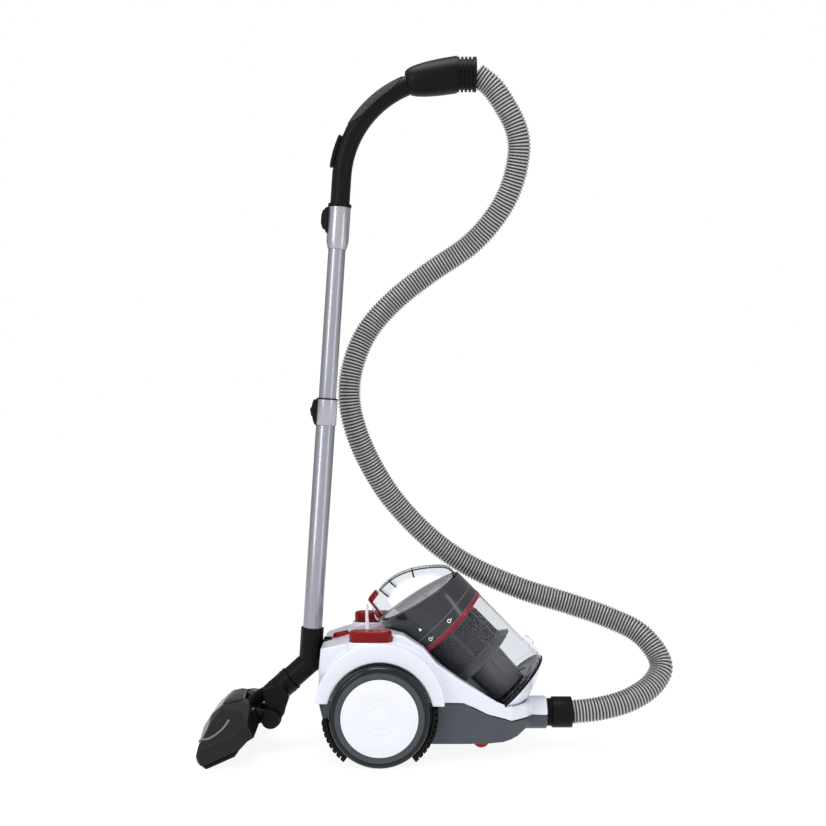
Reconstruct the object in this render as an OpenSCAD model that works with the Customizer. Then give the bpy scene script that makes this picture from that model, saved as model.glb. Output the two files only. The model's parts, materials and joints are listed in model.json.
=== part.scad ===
// Canister vacuum cleaner, parked upright: body on two large wheels and a caster, dust bin tilted
// in its cradle, wand hooked on the rear of the body, hose from the nose socket to the handle.
// +X is the front (hose socket), +Y the left side, +Z up. Z = 0 is the floor. All sizes in mm.

/* [Body] */
// Height of the gap under the body
body_clear = 30; // [22:1:38]
// Distance from the wheel axle back to the rear wall
body_rear = 106; // [98:1:125]
// Distance from the wheel axle forward to the end of the nose
body_nose = 288; // [280:1:330]
// Half the width of the body between the wheels
body_half = 91; // [88:1:105]
// Height of the top deck between the pedals
deck_h = 212; // [204:1:220]
// Wall of the moulded housings
wall = 3; // [2:0.5:4]

/* [Wheels] */
// Outside diameter of a rear tyre
tyre_d = 168; // [150:1:180]
// Width of a rear tyre
tyre_w = 34; // [24:1:38]
// Diameter of the white wheel disc
disc_d = 128; // [100:1:132]
// Distance from the centre plane to the inner side of a tyre
tyre_in = 98; // [96:1:115]
// Outside radius of the fender arch
fender_r = 108; // [104:1:112]
// Diameter of the caster roller
caster_d = 30; // [24:1:32]
// Trail of the caster roller behind its swivel
caster_trail = 14; // [10:1:18]

/* [Pedals] */
// Length of a pedal
pedal_l = 71; // [50:1:76]
// Width of a pedal
pedal_w = 30; // [22:1:32]
// Height of the pedal tops above the floor
pedal_top = 221; // [216:1:230]
// Distance a pedal goes down
pedal_travel = 4; // [2:0.5:6]

/* [Hose socket] */
// Height of the socket's axis
socket_h = 61; // [58:1:64]
// Outside radius of the nose barrel
socket_r = 28; // [26:0.5:30]
// Radius of the socket's bore
socket_bore = 19; // [17:0.5:21]

/* [Dust bin] */
// Lean of the bin's axis from upright
bin_lean = 45; // [43:0.5:47]
// Outside radius of the bin
bin_r = 78; // [70:1:80]
// Wall of the clear cup
cup_wall = 2.5; // [1.5:0.5:4]
// Length of the clear cup
cup_l = 157; // [140:1:160]
// Depth of the domed base
dome_h = 31; // [24:1:33]
// Height of the dark head at its axis
head_h = 68; // [60:1:76]
// Slant of the lid against the bin's axis
lid_slant = 13.5; // [8:0.5:16]
// Free space between the bin and its cradle
bin_gap = 1.5; // [1:0.5:3]
// Radius of the mesh shroud inside the cup
shroud_r = 55; // [45:1:60]
// Width of the carrying handle
handle_w = 30; // [22:1:40]

/* [Wand] */
// Lean of the parked wand towards the front
wand_lean = 3.7; // [3:0.1:4.5]
// Outside diameter of the lower tube
low_tube_d = 33.6; // [30:0.2:36]
// Outside diameter of the sliding upper tube
up_tube_d = 30.4; // [28:0.2:31]
// Wall of both metal tubes
tube_wall = 0.9; // [0.6:0.1:1.2]
// Length of the lower tube
low_tube_l = 430; // [400:5:460]
// Length of the upper tube that shows
up_tube_show = 262; // [240:2:320]
// Length of the upper tube hidden in the lower one
up_tube_hid = 180; // [160:5:200]
// Diameter of the moulded collars on the wand
collar_d = 40; // [38:0.5:46]

/* [Handle] */
// Radius of the curve of the handle
grip_bend = 185; // [170:5:200]
// Diameter of the handle tube
grip_d = 34; // [30:1:38]
// Diameter of the barrel at the end of the handle
barrel_d = 63; // [56:1:66]
// Length of the barrel
barrel_l = 86.5; // [70:0.5:110]
// Angle of the barrel above level
barrel_rise = 9.2; // [5:0.1:14]
// Place on the curve where the barrel starts, in degrees from level
barrel_turn = 112; // [106:0.5:118]

/* [Hose] */
// Outside diameter of the hose
hose_d = 42; // [36:1:44]
// Wall of the hose
hose_wall = 1.5; // [1:0.5:3]

/* [Floor head] */
// Width of the floor head
head_w = 260; // [220:5:262]
// Pitch of the parked head, front down
head_pitch = 24; // [20:0.5:28]
// Radius of the neck rollers
roller_r = 16.3; // [14:0.1:17]

/* [Hidden] */
$fn = 64;

// Clearances
run = 0.05;        // radial, in every bearing
slip = 0.3;        // between parts that slide past each other

// Wheels and axles
tyre_r = tyre_d / 2;
axle_r = 4;
axle_in = 78;
axle_end = tyre_in + tyre_w - 6;
well_r = tyre_r + 4;
well_in = tyre_in - 4;
fender_out = tyre_in + 20;
fender_z = tyre_r + 11;

// Side outline of the body, counter-clockwise from the rear bottom
rim_z = deck_h + 7;
rim_low = 98;
side_outline = [[-body_rear + 38, body_clear], [body_nose - 80, body_clear],
    [body_nose - 56, body_clear + 6], [body_nose - 32, body_clear + 20],
    [body_nose - 26, socket_h + 9], [body_nose - 32, socket_h + socket_r - 1],
    [body_nose - 63, socket_h + socket_r], [body_nose - 91, rim_low],
    [134, 137], [95, 164], [73, rim_z - 29], [38, rim_z - 7], [14, rim_z - 5], [-10, deck_h - 9],
    [-60, deck_h - 14], [-body_rear + 5, deck_h - 25], [-body_rear + 1, 150],
    [-body_rear, 95], [-body_rear + 12, 58]];
plan_half = [[-body_rear - 1, body_half - 29], [-body_rear + 10, body_half - 9],
    [-body_rear + 36, body_half], [body_nose - 168, body_half],
    [body_nose - 108, body_half - 3], [body_nose - 66, body_half - 17],
    [body_nose - 38, body_half - 43], [body_nose - 26, socket_r + 2]];
split_line = [[-body_rear - 30, 104], [60, 100], [140, 98], [184, 77], [222, 64],
    [body_nose + 20, socket_h]];
sky = 400;         // above every part of the body

// Pedals: middle of the left one, and the floor of its plinth
pedal_h = 24;
spring_h = 20;
pedal_mid = [-16, tyre_in - 5];
pedal_seat = pedal_top - pedal_h - pedal_travel - 3;

// Dust bin frame: origin at the middle of the red ring, +Z towards the lid, +X up and forward
bin_x = 113.7;
bin_z = 214.7;
dome_r = (bin_r * bin_r + dome_h * dome_h) / (2 * dome_h);
cup_in = bin_r - cup_wall;
ring_h = 6;
lid_r = bin_r - 8;
port_r = 20;
port_at = 44;
fin_r = shroud_r + 14;
dust_tube_r = 37;

// Wand frame: origin at the foot of the lower tube's socket, +Z up along the wand
wand_x = -body_rear - 15;
wand_z = 206.5;
joint_t = low_tube_l - 27;
collar_t = joint_t + up_tube_show;
flange_t = collar_t + 74;
socket_depth = 27;
elbow_t = -56.6;
elbow = [wand_x + elbow_t * sin(wand_lean), wand_z + elbow_t * cos(wand_lean)];
low_in = low_tube_d / 2 - tube_wall;

// Neck frame: origin at the elbow, +Z down towards the floor head
neck_drop = 48.2;
neck_r = collar_d / 2;
neck_l = 42;
spigot_r = neck_r - 3;

// Pivot of the floor head
pivot_x = elbow[0] - 65;
pivot_z = elbow[1] - 92;
bellows_from = 112;
bellows_to = 150;
bellows_r = 50;
arm_in = 25;
arm_w = 6;
roller_w = 10;

// Floor head frame: origin at the pivot, sole flat on local XY, front towards -X
sole_front = 110;
sole_drop = (pivot_z - sole_front * sin(head_pitch)) / cos(head_pitch);
head_outline = [[-sole_front, -sole_drop], [-58, -sole_drop], [-31, 2], [-18, 3], [-20, 36],
    [-31, 50], [-66, 57], [-88, 50], [-109, 36], [-119, 17], [-122, 2]];
head_wall = 2.5;
sole_t = 6;
pedal_x = -47;
pedal_z = 49;
pedal_half = 36;
brush_x = [-100, -68];

// Handle
grip_from = barrel_turn - 6;
grip_to = 180 - wand_lean;
grip_start = flange_t + 54;
grip_s = [wand_x + grip_start * sin(wand_lean), wand_z + grip_start * cos(wand_lean)];
grip_c = grip_s + grip_bend * [cos(wand_lean), -sin(wand_lean)];
barrel_at = grip_c + grip_bend * [cos(barrel_turn), sin(barrel_turn)] + [0, 5];
cuff_x = barrel_at[0] + barrel_l;
cuff_z = barrel_at[1] + barrel_l * tan(barrel_rise);
cuff_l = 34;
cuff_r = 30;

// Body cuff on the nose
nose_cuff_l = 44;

// Centres the object over the origin, from the head's front to the hose cuffs
head_front = pivot_x + 119 * -cos(head_pitch) - 17 * sin(head_pitch);
centre_x = (head_front + body_nose + nose_cuff_l) / 2;

// Middle line of the hose, from the body cuff to the handle cuff
hose_route = [[body_nose + nose_cuff_l, 0, socket_h],
    [383, 3, 66], [436, 12, 79], [481, 30, 103], [500, 52, 136], [470, 78, 181],
    [415, 98, 208], [343, 110, 232], [252, 115, 260], [160, 116, 301],
    [86, 113, 353], [22, 104, 420], [-19, 88, 484], [-47, 72, 548], [-60, 64, 610],
    [-53, 64, 672], [-26, 70, 734], [22, 74, 789], [86, 72, 839], [157, 62, 887],
    [204, 46, 938], [231, 30, 990], [242, 16, 1047], [235, 8, 1087], [214, 3, 1126],
    [190, 1, 1153],
    [cuff_x + cuff_l, 0, cuff_z]];
hose_split = 14;
hose_steps = 2;
hose_sides = 12;

// ---- Helpers ----
module on_body() { translate([-centre_x, 0, 0]) children(); }
module at_wand() { on_body() translate([wand_x, 0, wand_z]) rotate([0, wand_lean, 0]) children(); }
module on_lean() { translate([bin_x, 0, bin_z]) rotate([0, -bin_lean, 0]) children(); }
module at_bin() { on_body() on_lean() children(); }
module at_lid() { translate([0, 0, head_h]) rotate([0, lid_slant, 0]) children(); }
module at_pivot() { on_body() translate([pivot_x, 0, pivot_z]) children(); }
module at_head() { at_pivot() rotate([0, -head_pitch, 0]) children(); }
module at_neck() {
    on_body() translate([elbow[0], 0, elbow[1]]) rotate([0, 180 + neck_drop, 0]) children();
}
module disc_y(r, from, to) { translate([0, from, 0]) rotate([-90, 0, 0]) cylinder(r = r, h = to - from); }
module disc_x(r, from, to) { translate([from, 0, 0]) rotate([0, 90, 0]) cylinder(r = r, h = to - from); }
module tube(r_out, r_in, from, to) {
    translate([0, 0, from]) difference() {
        cylinder(r = r_out, h = to - from);
        translate([0, 0, -1]) cylinder(r = r_in, h = to - from + 2);
    }
}
module slab_y(points, from, to) {
    translate([0, to, 0]) rotate([90, 0, 0]) linear_extrude(to - from) polygon(points);
}
module block(x, y, z) { translate([x[0], y[0], z[0]]) cube([x[1] - x[0], y[1] - y[0], z[1] - z[0]]); }
module sides() {
    children();
    mirror([0, 1, 0]) children();
}
module racetrack(l, w, h) {
    translate([-(l - w) / 2, -w / 2, 0]) cube([l - w, w, h]);
    for (s = [-1, 1]) translate([s * (l - w) / 2, 0, 0]) cylinder(r = w / 2, h = h);
}
function left_of(a, b) = let (d = (b - a) / norm(b - a)) [-d[1], d[0]];
function inset(p, w) = [for (i = [0 : len(p) - 1])
    let (n = left_of(p[(i + len(p) - 1) % len(p)], p[i]), m = left_of(p[i], p[(i + 1) % len(p)]))
    p[i] + w * (n + m) / (1 + n * m)];
function reversed(p) = [for (i = [len(p) - 1 : -1 : 0]) p[i]];
plan_outline = concat([for (p = plan_half) [p[0], -p[1]]], reversed(plan_half));

// Round wire coil standing on Z = 0
module coil(r, wire, turns, h) {
    steps = 12;
    facets = 6;
    n = turns * steps;
    rings = [for (i = [0 : n]) for (k = [0 : facets - 1])
        let (a = 360 * i / steps, b = 360 * k / facets, q = r + wire * cos(b))
        [q * cos(a), q * sin(a), wire + (h - 2 * wire) * i / n + wire * sin(b)]];
    caps = [[for (k = [0 : facets - 1]) k], [for (k = [facets - 1 : -1 : 0]) n * facets + k]];
    skin = [for (i = [0 : n - 1]) for (k = [0 : facets - 1])
        let (a = i * facets + k, b = i * facets + (k + 1) % facets) [a, a + facets, b + facets, b]];
    polyhedron(rings, concat(caps, skin), convexity = 6);
}

// ---- Housings ----
module body_block(w) {
    intersection() {
        slab_y(inset(side_outline, w), -body_half - 9, body_half + 9);
        linear_extrude(sky) polygon(inset(plan_outline, w));
    }
}
module fender_block(w) {
    translate([0, 0, fender_z]) disc_y(fender_r - w, -fender_out + w, fender_out - w);
}
module plinths(w) {
    sides() translate([pedal_mid[0], pedal_mid[1], pedal_seat - 5])
        racetrack(pedal_l + 8 - 2 * w, pedal_w + 8 - 2 * w, 19 - w);
}
module wheel_wells(w) {
    sides() translate([0, 0, tyre_r]) disc_y(well_r + w, well_in - w, well_in + 60);
}
// Space that the bin needs, swept upwards; w widens it by a wall
module bin_space(w) {
    r = bin_r + bin_gap + w;
    low = -cup_l - w;
    up = bin_r + head_h;
    on_lean() {
        translate([0, 0, low]) cylinder(r = r, h = cup_l + up);
        intersection() {
            translate([0, 0, dome_r - cup_l - dome_h]) sphere(r = dome_r + bin_gap + w, $fn = 96);
            translate([0, 0, -cup_l - dome_h - 9]) cylinder(r = r, h = dome_h + 20);
        }
    }
    slab_y(sweep_outline(low), -r, r);
}
// From the bin's axis straight up: bottom end of the axis, top end, and the sky above both
function on_axis(s) = [bin_x - s * sin(bin_lean), bin_z + s * cos(bin_lean)];
function sweep_outline(low) = [on_axis(low),
    on_axis(low) + [bin_r * cos(bin_lean), bin_r * sin(bin_lean)],
    [on_axis(low)[0] + bin_r * cos(bin_lean), sky], [on_axis(bin_r + head_h)[0], sky],
    on_axis(bin_r + head_h)];
module fender_shell() {
    difference() {
        intersection() {
            fender_block(0);
            above_split();
        }
        wheel_wells(0);
        difference() {
            fender_block(wall);
            wheel_wells(wall);
            plinths(-wall);
        }
    }
}
module body_skin() {
    difference() {
        union() {
            body_block(0);
            translate([0, 0, socket_h]) disc_x(socket_r, body_nose - 50, body_nose);
        }
        bin_space(0);
        wheel_wells(0);
        difference() {
            body_block(wall);
            bin_space(wall);
            wheel_wells(wall);
            translate([0, 0, socket_h]) disc_x(socket_r, body_nose - 70, body_nose);
        }
    }
}
module above_split() {
    slab_y(concat(split_line, [[body_nose + 20, sky], [-body_rear - 30, sky]]), -200, 200);
}
module below_split() {
    slab_y(concat([[-body_rear - 30, -9], [body_nose + 20, -9]], reversed(split_line)), -200, 200);
}
slot_z = 156;
slot_half = 16;
slot_deep = 20;
slot_face = wand_x + neck_r - 0.4;
indicator_at = [-70, deck_h - 17];
indicator_tilt = 12;
outlet_hole = 5;
outlet_at = [-body_rear, 62, 128];
port_sleeve = port_r + 4;
module outlet_axis() {
    on_lean() translate([0, 0, port_at]) rotate([0, -90, 0]) children();
}
module upper_housing() {
    color("ghostwhite") on_body() difference() {
        union() {
            intersection() {
                body_skin();
                above_split();
            }
            difference() {
                union() {
                    fender_shell();
                    plinths(0);
                }
                body_block(wall);
                bin_space(0);
            }
        }
        translate([0, 0, socket_h]) disc_x(socket_bore + wall, body_nose - 90, body_nose + 1);
        block([-body_rear - 9, -body_rear + slot_deep], [-slot_half, slot_half], [slot_z, sky]);
        sides() translate([pedal_mid[0], pedal_mid[1], pedal_seat])
            racetrack(pedal_l + 2 * slip, pedal_w + 2 * slip, sky);
        outlet_axis() translate([0, 0, bin_r - 5]) cylinder(r = port_sleeve, h = 14);
        translate([-body_rear - 9, outlet_at[1], outlet_at[2]]) rotate([0, 90, 0])
            cylinder(r = outlet_hole + 4, h = 30);
        translate([indicator_at[0], 0, indicator_at[1]]) rotate([0, -indicator_tilt, 0])
            translate([0, 0, -20]) almond(0);
        translate([wand_x, 0, wand_z]) rotate([0, wand_lean, 0])
            translate([0, 0, elbow_t - neck_r]) cylinder(r = neck_r + 1.2, h = 120);
    }
}
// Two circles crossing make the indicator's almond
module almond(grow) {
    intersection() {
        translate([0, 8, 0]) cylinder(r = 17 + grow, h = 60);
        translate([0, -8, 0]) cylinder(r = 17 + grow, h = 60);
    }
}
screw_spots = [[-66, 68], [150, 66]];
caster_x = 174 + caster_trail;
caster_pin = 5;
rib_at = [-4, 52];
motor_at = [-25, 108];
motor_r = 52;
reel_r = 58;
reel_y = [-76, -34];
reel_pin = 5;
filter_x = [-body_rear + 17, -body_rear + 28];
filter_y = [-10, 70];
filter_z = [62, 96];
module lower_housing() {
    color("slategray") on_body() {
        difference() {
            union() {
                intersection() {
                    body_skin();
                    below_split();
                }
                intersection() {
                    below_split();
                    body_block(0);
                    union() {
                        sides() for (p = screw_spots)
                            translate([p[0], p[1], body_clear]) cylinder(r = 6, h = 60);
                        sides() translate([0, 0, tyre_r]) disc_y(axle_r + 5, axle_in, body_half + 9);
                        translate([caster_x, 0, body_clear]) cylinder(r = 32, h = 8 + wall);
                        translate([caster_x, 0, body_clear]) cylinder(r = 9, h = 26);
                        for (y = rib_at)
                            block([-body_rear, 30], [y, y + wall], [body_clear, motor_at[1] - 20]);
                        block([-60, 10], [reel_y[1] + 4, reel_y[1] + 4 + wall], [body_clear, 104]);
                    }
                }
            }
            translate([0, 0, socket_h]) disc_x(socket_bore + wall, body_nose - 90, body_nose + 1);
            translate([motor_at[0], 0, motor_at[1]]) disc_y(motor_r, can_y[0] - 2, can_y[1] + 4);
            translate([motor_at[0], 0, motor_at[1]]) disc_y(reel_r + 4, reel_y[0] - 2, reel_y[1] + 3);
            bin_space(0);
            wheel_wells(0);
            sides() translate([0, 0, tyre_r]) disc_y(axle_r, axle_in - 1, body_half + 10);
            sides() for (p = screw_spots) translate([p[0], p[1], body_clear - 1]) {
                cylinder(r = 4.4, h = 6);
                cylinder(r = 2, h = 54);
            }
            translate([caster_x, 0, body_clear - 1]) cylinder(r = 29, h = 9);
            translate([caster_x, 0, body_clear]) cylinder(r = caster_pin + run, h = 16.5);
            for (z = [filter_z[0] : 9 : filter_z[1] - 4])
                block([-body_rear - 2, -body_rear + 20], filter_y, [z, z + 4]);
            block([filter_x[0] - 1, filter_x[1] + 1], filter_y + [-1, 1], filter_z + [-1, 5]);
        }
    }
}
grille_in = well_r - 0.5;
grille_out = well_r + 9;
module grille(from, to) {
    sides() translate([0, 0, tyre_r]) difference() {
        rotate([90, 0, 0]) rotate([0, 0, from]) translate([0, 0, -fender_out + 3])
            rotate_extrude(angle = to - from) translate([grille_in, 0])
                square([grille_out - grille_in, fender_out - 3 - body_half - 0.2]);
        for (a = [from + 5 : 6 : to - 4])
            rotate([0, -a, 0])
                block([grille_out - 6, grille_out + 2], [body_half + 5, fender_out + 1], [-1.5, 1.5]);
    }
}
module wheel_grilles() {
    color("dimgray") on_body() intersection() {
        union() {
            grille(186, 232);
            grille(-52, 6);
        }
        below_split();
    }
}
module inlet_duct() {
    color("darkslategray") on_body() difference() {
        translate([0, 0, socket_h]) disc_x(socket_bore + wall, body_nose - 66, body_nose - 2);
        translate([0, 0, socket_h]) disc_x(socket_bore, body_nose - 90, body_nose);
        bin_space(1);
    }
}
hook_x = -24;
module latch_hook() {
    color("whitesmoke") on_body() difference() {
        slab_y([[hook_x - 4, deck_h - 22], [hook_x + 5, deck_h - 22], [hook_x + 1, 230],
            [hook_x + 1, 246], [hook_x - 2, 250], [hook_x - 4, 240]], -8, 8);
        body_block(0);
    }
}
module parking_slot() {
    color("black") on_body() difference() {
        block([slot_face, -body_rear + slot_deep], [-slot_half, slot_half], [slot_z, slot_z + 34]);
        block([slot_face + 3, -body_rear + 17], [-10, 10], [slot_z + 4, sky]);
        block([slot_face - 5, slot_face + 4], [-5, 5], [slot_z + 4, sky]);
    }
}
module dust_indicator() {
    color("firebrick") on_body() translate([indicator_at[0], 0, indicator_at[1]])
        rotate([0, -indicator_tilt, 0]) translate([0, 0, -3]) intersection() {
            almond(-0.1);
            cylinder(r = 40, h = 8);
        }
}
module steel_axles() {
    color("silver") on_body() {
        sides() translate([0, 0, tyre_r]) disc_y(axle_r, axle_in, axle_end);
        translate([motor_at[0], 0, motor_at[1]]) disc_y(reel_pin, reel_y[0] - 4, reel_y[1] + 2);
        translate([motor_at[0], 0, motor_at[1]]) disc_y(14, reel_y[1] + 2, reel_y[1] + 4);
    }
}

// ---- Inside the body ----
can_y = [-22, 72];
module motor_housing() {
    color("gray") on_body() translate([motor_at[0], 0, motor_at[1]]) difference() {
        disc_y(motor_r, can_y[0], can_y[1]);
        disc_y(motor_r - wall, can_y[0] + wall, can_y[1] - wall);
        disc_y(18, can_y[0] - 1, can_y[0] + 9);
        for (a = [0 : 45 : 315]) rotate([0, a, 0])
            block([20, 44], [can_y[1] - 9, can_y[1] + 1], [-4, 4]);
    }
}
module motor_core() {
    color("darkkhaki") on_body() translate([motor_at[0], 0, motor_at[1]]) {
        difference() {
            disc_y(36, 4, 62);
            for (a = [0 : 30 : 330]) rotate([0, a, 0]) block([32, 40], [10, 50], [-3, 3]);
        }
        disc_y(4, -14, 4);
        disc_y(12, 62, can_y[1] - wall);
    }
}
module motor_mount() {
    color("black") on_body() translate([motor_at[0], 0, motor_at[1]]) difference() {
        disc_y(motor_r - wall, 52, 60);
        disc_y(36, 51, 61);
    }
}
module impeller() {
    color("lightgray") on_body() translate([motor_at[0], 0, motor_at[1]]) difference() {
        union() {
            disc_y(44, -6, -4);
            disc_y(9, -16, -4);
            for (a = [0 : 40 : 320]) rotate([0, a, 0]) block([8, 44], [-15, -5], [-1, 1]);
        }
        disc_y(4 + run, -20, 0);
    }
}
module hepa_filter() {
    color("white") on_body() difference() {
        block(filter_x, filter_y, filter_z);
        for (y = [filter_y[0] + 3 : 8.5 : filter_y[1] - 6])
            block(filter_x + [3, 1], [y, y + 3], filter_z + [4, -4]);
    }
}
module cord_reel() {
    color("dimgray") on_body() translate([motor_at[0], 0, motor_at[1]]) difference() {
        union() {
            disc_y(reel_r, reel_y[0], reel_y[0] + 2);
            disc_y(reel_r, reel_y[1] - 2, reel_y[1]);
            disc_y(30, reel_y[0] + 1, reel_y[1] - 1);
        }
        disc_y(26, reel_y[0] - 1, reel_y[1] - 5);
        disc_y(reel_pin + run, reel_y[0] - 1, reel_y[1] + 1);
    }
}
module cord_outlet() {
    color("black") on_body() translate([-body_rear - 1, outlet_at[1], outlet_at[2]]) rotate([0, 90, 0])
        difference() {
            union() {
                cylinder(r = outlet_hole + 3.9, h = 9);
                cylinder(r = outlet_hole + 2, h = 16);
            }
            translate([0, 0, -1]) cylinder(r = outlet_hole, h = 30);
        }
}
module circuit_board() {
    color("green") on_body() {
        block([34, 96], [-34, 34], [50, 51.6]);
        block([40, 62], [-26, -8], [51.6, 66]);
        block([70, 84], [8, 24], [51.6, 62]);
        for (x = [40, 90]) for (y = [-28, 28])
            translate([x, y, body_clear + wall]) cylinder(r = 3, h = 50 - body_clear - wall);
    }
}
module housing_screws() {
    color("silver") on_body() sides() for (p = screw_spots) translate([p[0], p[1], body_clear + 1.5]) {
        cylinder(r = 4, h = 3);
        cylinder(r = 1.95, h = 40);
    }
}
module outlet_gasket() {
    color("black") on_body() outlet_axis() tube(port_sleeve, port_r, bin_r + bin_gap + 0.2, bin_r + 7);
}

// ---- Pedals ----
module pedal_spring() {
    color("silver") on_body() translate([pedal_mid[0], pedal_mid[1], pedal_seat])
        coil(7, 0.8, 4, spring_h);
}
module rewind_spring() { pedal_spring(); }
module power_spring() { mirror([0, 1, 0]) pedal_spring(); }
module pedal() {
    color("firebrick") on_body() translate([pedal_mid[0], pedal_mid[1], pedal_top - pedal_h]) difference() {
        racetrack(pedal_l, pedal_w, pedal_h);
        translate([0, 0, -1]) cylinder(r = 9.5, h = 1 + pedal_seat + spring_h - pedal_top + pedal_h);
    }
}
module rewind_pedal() { pedal(); }
module power_pedal() { mirror([0, 1, 0]) pedal(); }

// ---- Wheels ----
tyre_bore = disc_d / 2 - 2;
module tyre() {
    shoulder = 5;
    color("darkslategray") on_body() translate([0, tyre_in, tyre_r]) rotate([-90, 0, 0])
        rotate_extrude() polygon([[tyre_bore, 0], [tyre_r - shoulder, 0], [tyre_r - 1.5, 2],
            [tyre_r, shoulder], [tyre_r, tyre_w - shoulder], [tyre_r - 1.5, tyre_w - 2],
            [tyre_r - shoulder, tyre_w], [tyre_bore, tyre_w]]);
}
module left_tyre() { tyre(); }
module right_tyre() { mirror([0, 1, 0]) tyre(); }
module wheel_disc() {
    color("white") on_body() translate([0, tyre_in, tyre_r]) rotate([-90, 0, 0]) rotate_extrude()
        polygon([[axle_r + run, 1], [12, 1], [12, tyre_w - 5], [tyre_bore - 4, tyre_w - 6],
            [tyre_bore - 4, 2], [tyre_bore, 2], [tyre_bore, tyre_w], [tyre_bore + 2, tyre_w],
            [tyre_bore + 1, tyre_w + 1.5], [tyre_bore - 14, tyre_w + 2.4], [0, tyre_w + 3],
            [0, tyre_w - 5], [axle_r + run, tyre_w - 5]]);
}
module left_wheel_disc() { wheel_disc(); }
module right_wheel_disc() { mirror([0, 1, 0]) wheel_disc(); }
caster_r = caster_d / 2;
caster_w = 12;
module caster_fork() {
    color("firebrick") on_body() {
        translate([caster_x, 0, body_clear + 2]) cylinder(r = 14, h = 3);
        translate([caster_x, 0, body_clear + 4]) cylinder(r = caster_pin, h = 12);
        sides() slab_y([[caster_x - caster_trail - 5, caster_r - 4],
            [caster_x - caster_trail + 6, caster_r - 6], [caster_x + 12, body_clear + 2],
            [caster_x + 12, body_clear + 5], [caster_x - 12, body_clear + 5],
            [caster_x - 19, caster_r + 3]], caster_w / 2 + 0.6, caster_w / 2 + 3.6);
        block([caster_x - 12, caster_x + 12], [-caster_w / 2 - 3.6, caster_w / 2 + 3.6],
            [body_clear + 2.5, body_clear + 5]);
        translate([caster_x - caster_trail, 0, caster_r])
            disc_y(2.5, -caster_w / 2 - 1, caster_w / 2 + 1);
    }
}
module caster_roller() {
    color("maroon") on_body() translate([caster_x - caster_trail, 0, caster_r]) difference() {
        disc_y(caster_r, -caster_w / 2, caster_w / 2);
        disc_y(2.5 + run, -caster_w, caster_w);
    }
}

// ---- Dust bin ----
module bin_cup() {
    color("lightgray", 0.4) at_bin() {
        tube(bin_r, cup_in, -cup_l + 0.2, -ring_h / 2 - 0.2);
        translate([bin_r, 0, -126]) difference() {
            translate([-1.5, -9, -16]) cube([9, 18, 30]);
            translate([2, -10, -8]) cube([3, 20, 14]);
        }
    }
}
module bin_base() {
    inner = dome_r - wall;
    color("white") difference() {
        at_bin() difference() {
            intersection() {
                translate([0, 0, dome_r - cup_l - dome_h]) sphere(r = dome_r, $fn = 96);
                translate([0, 0, -cup_l - dome_h - 5]) cylinder(r = bin_r + 5, h = dome_h + 5);
            }
            intersection() {
                translate([0, 0, dome_r - cup_l - dome_h]) sphere(r = inner, $fn = 96);
                translate([0, 0, -cup_l - dome_h - 5]) cylinder(r = bin_r - wall, h = dome_h + 9);
            }
        }
        on_body() translate([0, 0, socket_h]) disc_x(socket_bore - 3, 100, body_nose);
    }
}
module mesh_shroud() { color("dimgray") at_bin() tube(shroud_r, shroud_r - 2, -70, -ring_h / 2 - 0.2); }
module cyclone_body() {
    color("gray") at_bin() rotate_extrude() polygon([[shroud_r - 6, -70.2], [shroud_r, -70.2],
        [fin_r, -81], [fin_r - 2, -83], [dust_tube_r + 2, -85], [dust_tube_r, -90],
        [dust_tube_r - 4, -cup_l + 6], [dust_tube_r - 6, -cup_l + 6], [dust_tube_r - 2, -90],
        [dust_tube_r, -83], [fin_r - 7, -80.5]]);
}
module slant_cut(drop) { at_lid() translate([-200, -200, -drop]) cube([400, 400, 300]); }
module bin_housing() {
    color("darkslategray") difference() {
        at_bin() difference() {
            translate([0, 0, ring_h / 2 + 0.2]) cylinder(r = bin_r, h = 120);
            translate([0, 0, ring_h / 2 + 4]) cylinder(r = bin_r - wall, h = 120);
            translate([0, 0, -1]) cylinder(r = shroud_r - 12, h = 20);
            slant_cut(0);
        }
        on_body() outlet_axis() translate([0, 0, bin_r - 12]) cylinder(r = port_r, h = 20);
    }
}
module red_ring() {
    color("crimson") at_bin() tube(bin_r + 0.8, cup_in - 4, -ring_h / 2, ring_h / 2);
}
module bin_lid() {
    sag = 7;
    ball = (lid_r * lid_r + sag * sag) / (2 * sag);
    color("silver") at_bin() at_lid() {
        intersection() {
            translate([0, 0, sag - ball + 0.2]) sphere(r = ball, $fn = 128);
            translate([0, 0, 0.2]) cylinder(r = lid_r, h = 20);
        }
        cylinder(r = lid_r, h = 1.2);
        translate([0, 0, -7]) cylinder(r = lid_r - 3, h = 8);
    }
}
arch_out = [[60, 62], [74, 60], [71, 72], [48, 95], [22, 113], [-6, 124], [-36, 127], [-54, 125],
    [-68, 117], [-79, 104], [-82, 92], [-78, 84]];
button_x = [-67, -45];
stem_x = [-70.6, -63.6];
arch_in = [[-50, 84.5], [-46, 91], [-44, 101], [-33, 107], [-10, 108.5], [15, 101], [44, 80]];
module bin_handle() {
    color("lightgray", 0.5) at_bin() difference() {
        intersection() {
            slab_y(concat(arch_out, arch_in), -handle_w / 2, handle_w / 2);
            at_lid() translate([-100, -100, 1.5]) cube([200, 200, 200]);
        }
        at_lid() translate([0, 0, 0.2]) cylinder(r = lid_r - 6, h = 7.5);
        block(button_x + [-1, 0.7], [-11, 11], [115.5, 140]);
        block(stem_x + [-0.6, 0.6], [-6.5, 6.5], [80, 120]);
    }
}
module release_button() {
    color("firebrick") at_bin() {
        slab_y([[button_x[0], 119], [button_x[1], 122], [button_x[1] - 1, 129.5], [button_x[1] - 4, 130.5],
            [button_x[0] + 3, 129], [button_x[0] + 0.5, 127]], -10.5, 10.5);
        slab_y([[stem_x[0], 90.5], [stem_x[0] + 4, 90.5], [stem_x[1], 121], [stem_x[1] - 4, 121]], -6, 6);
    }
}
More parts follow.
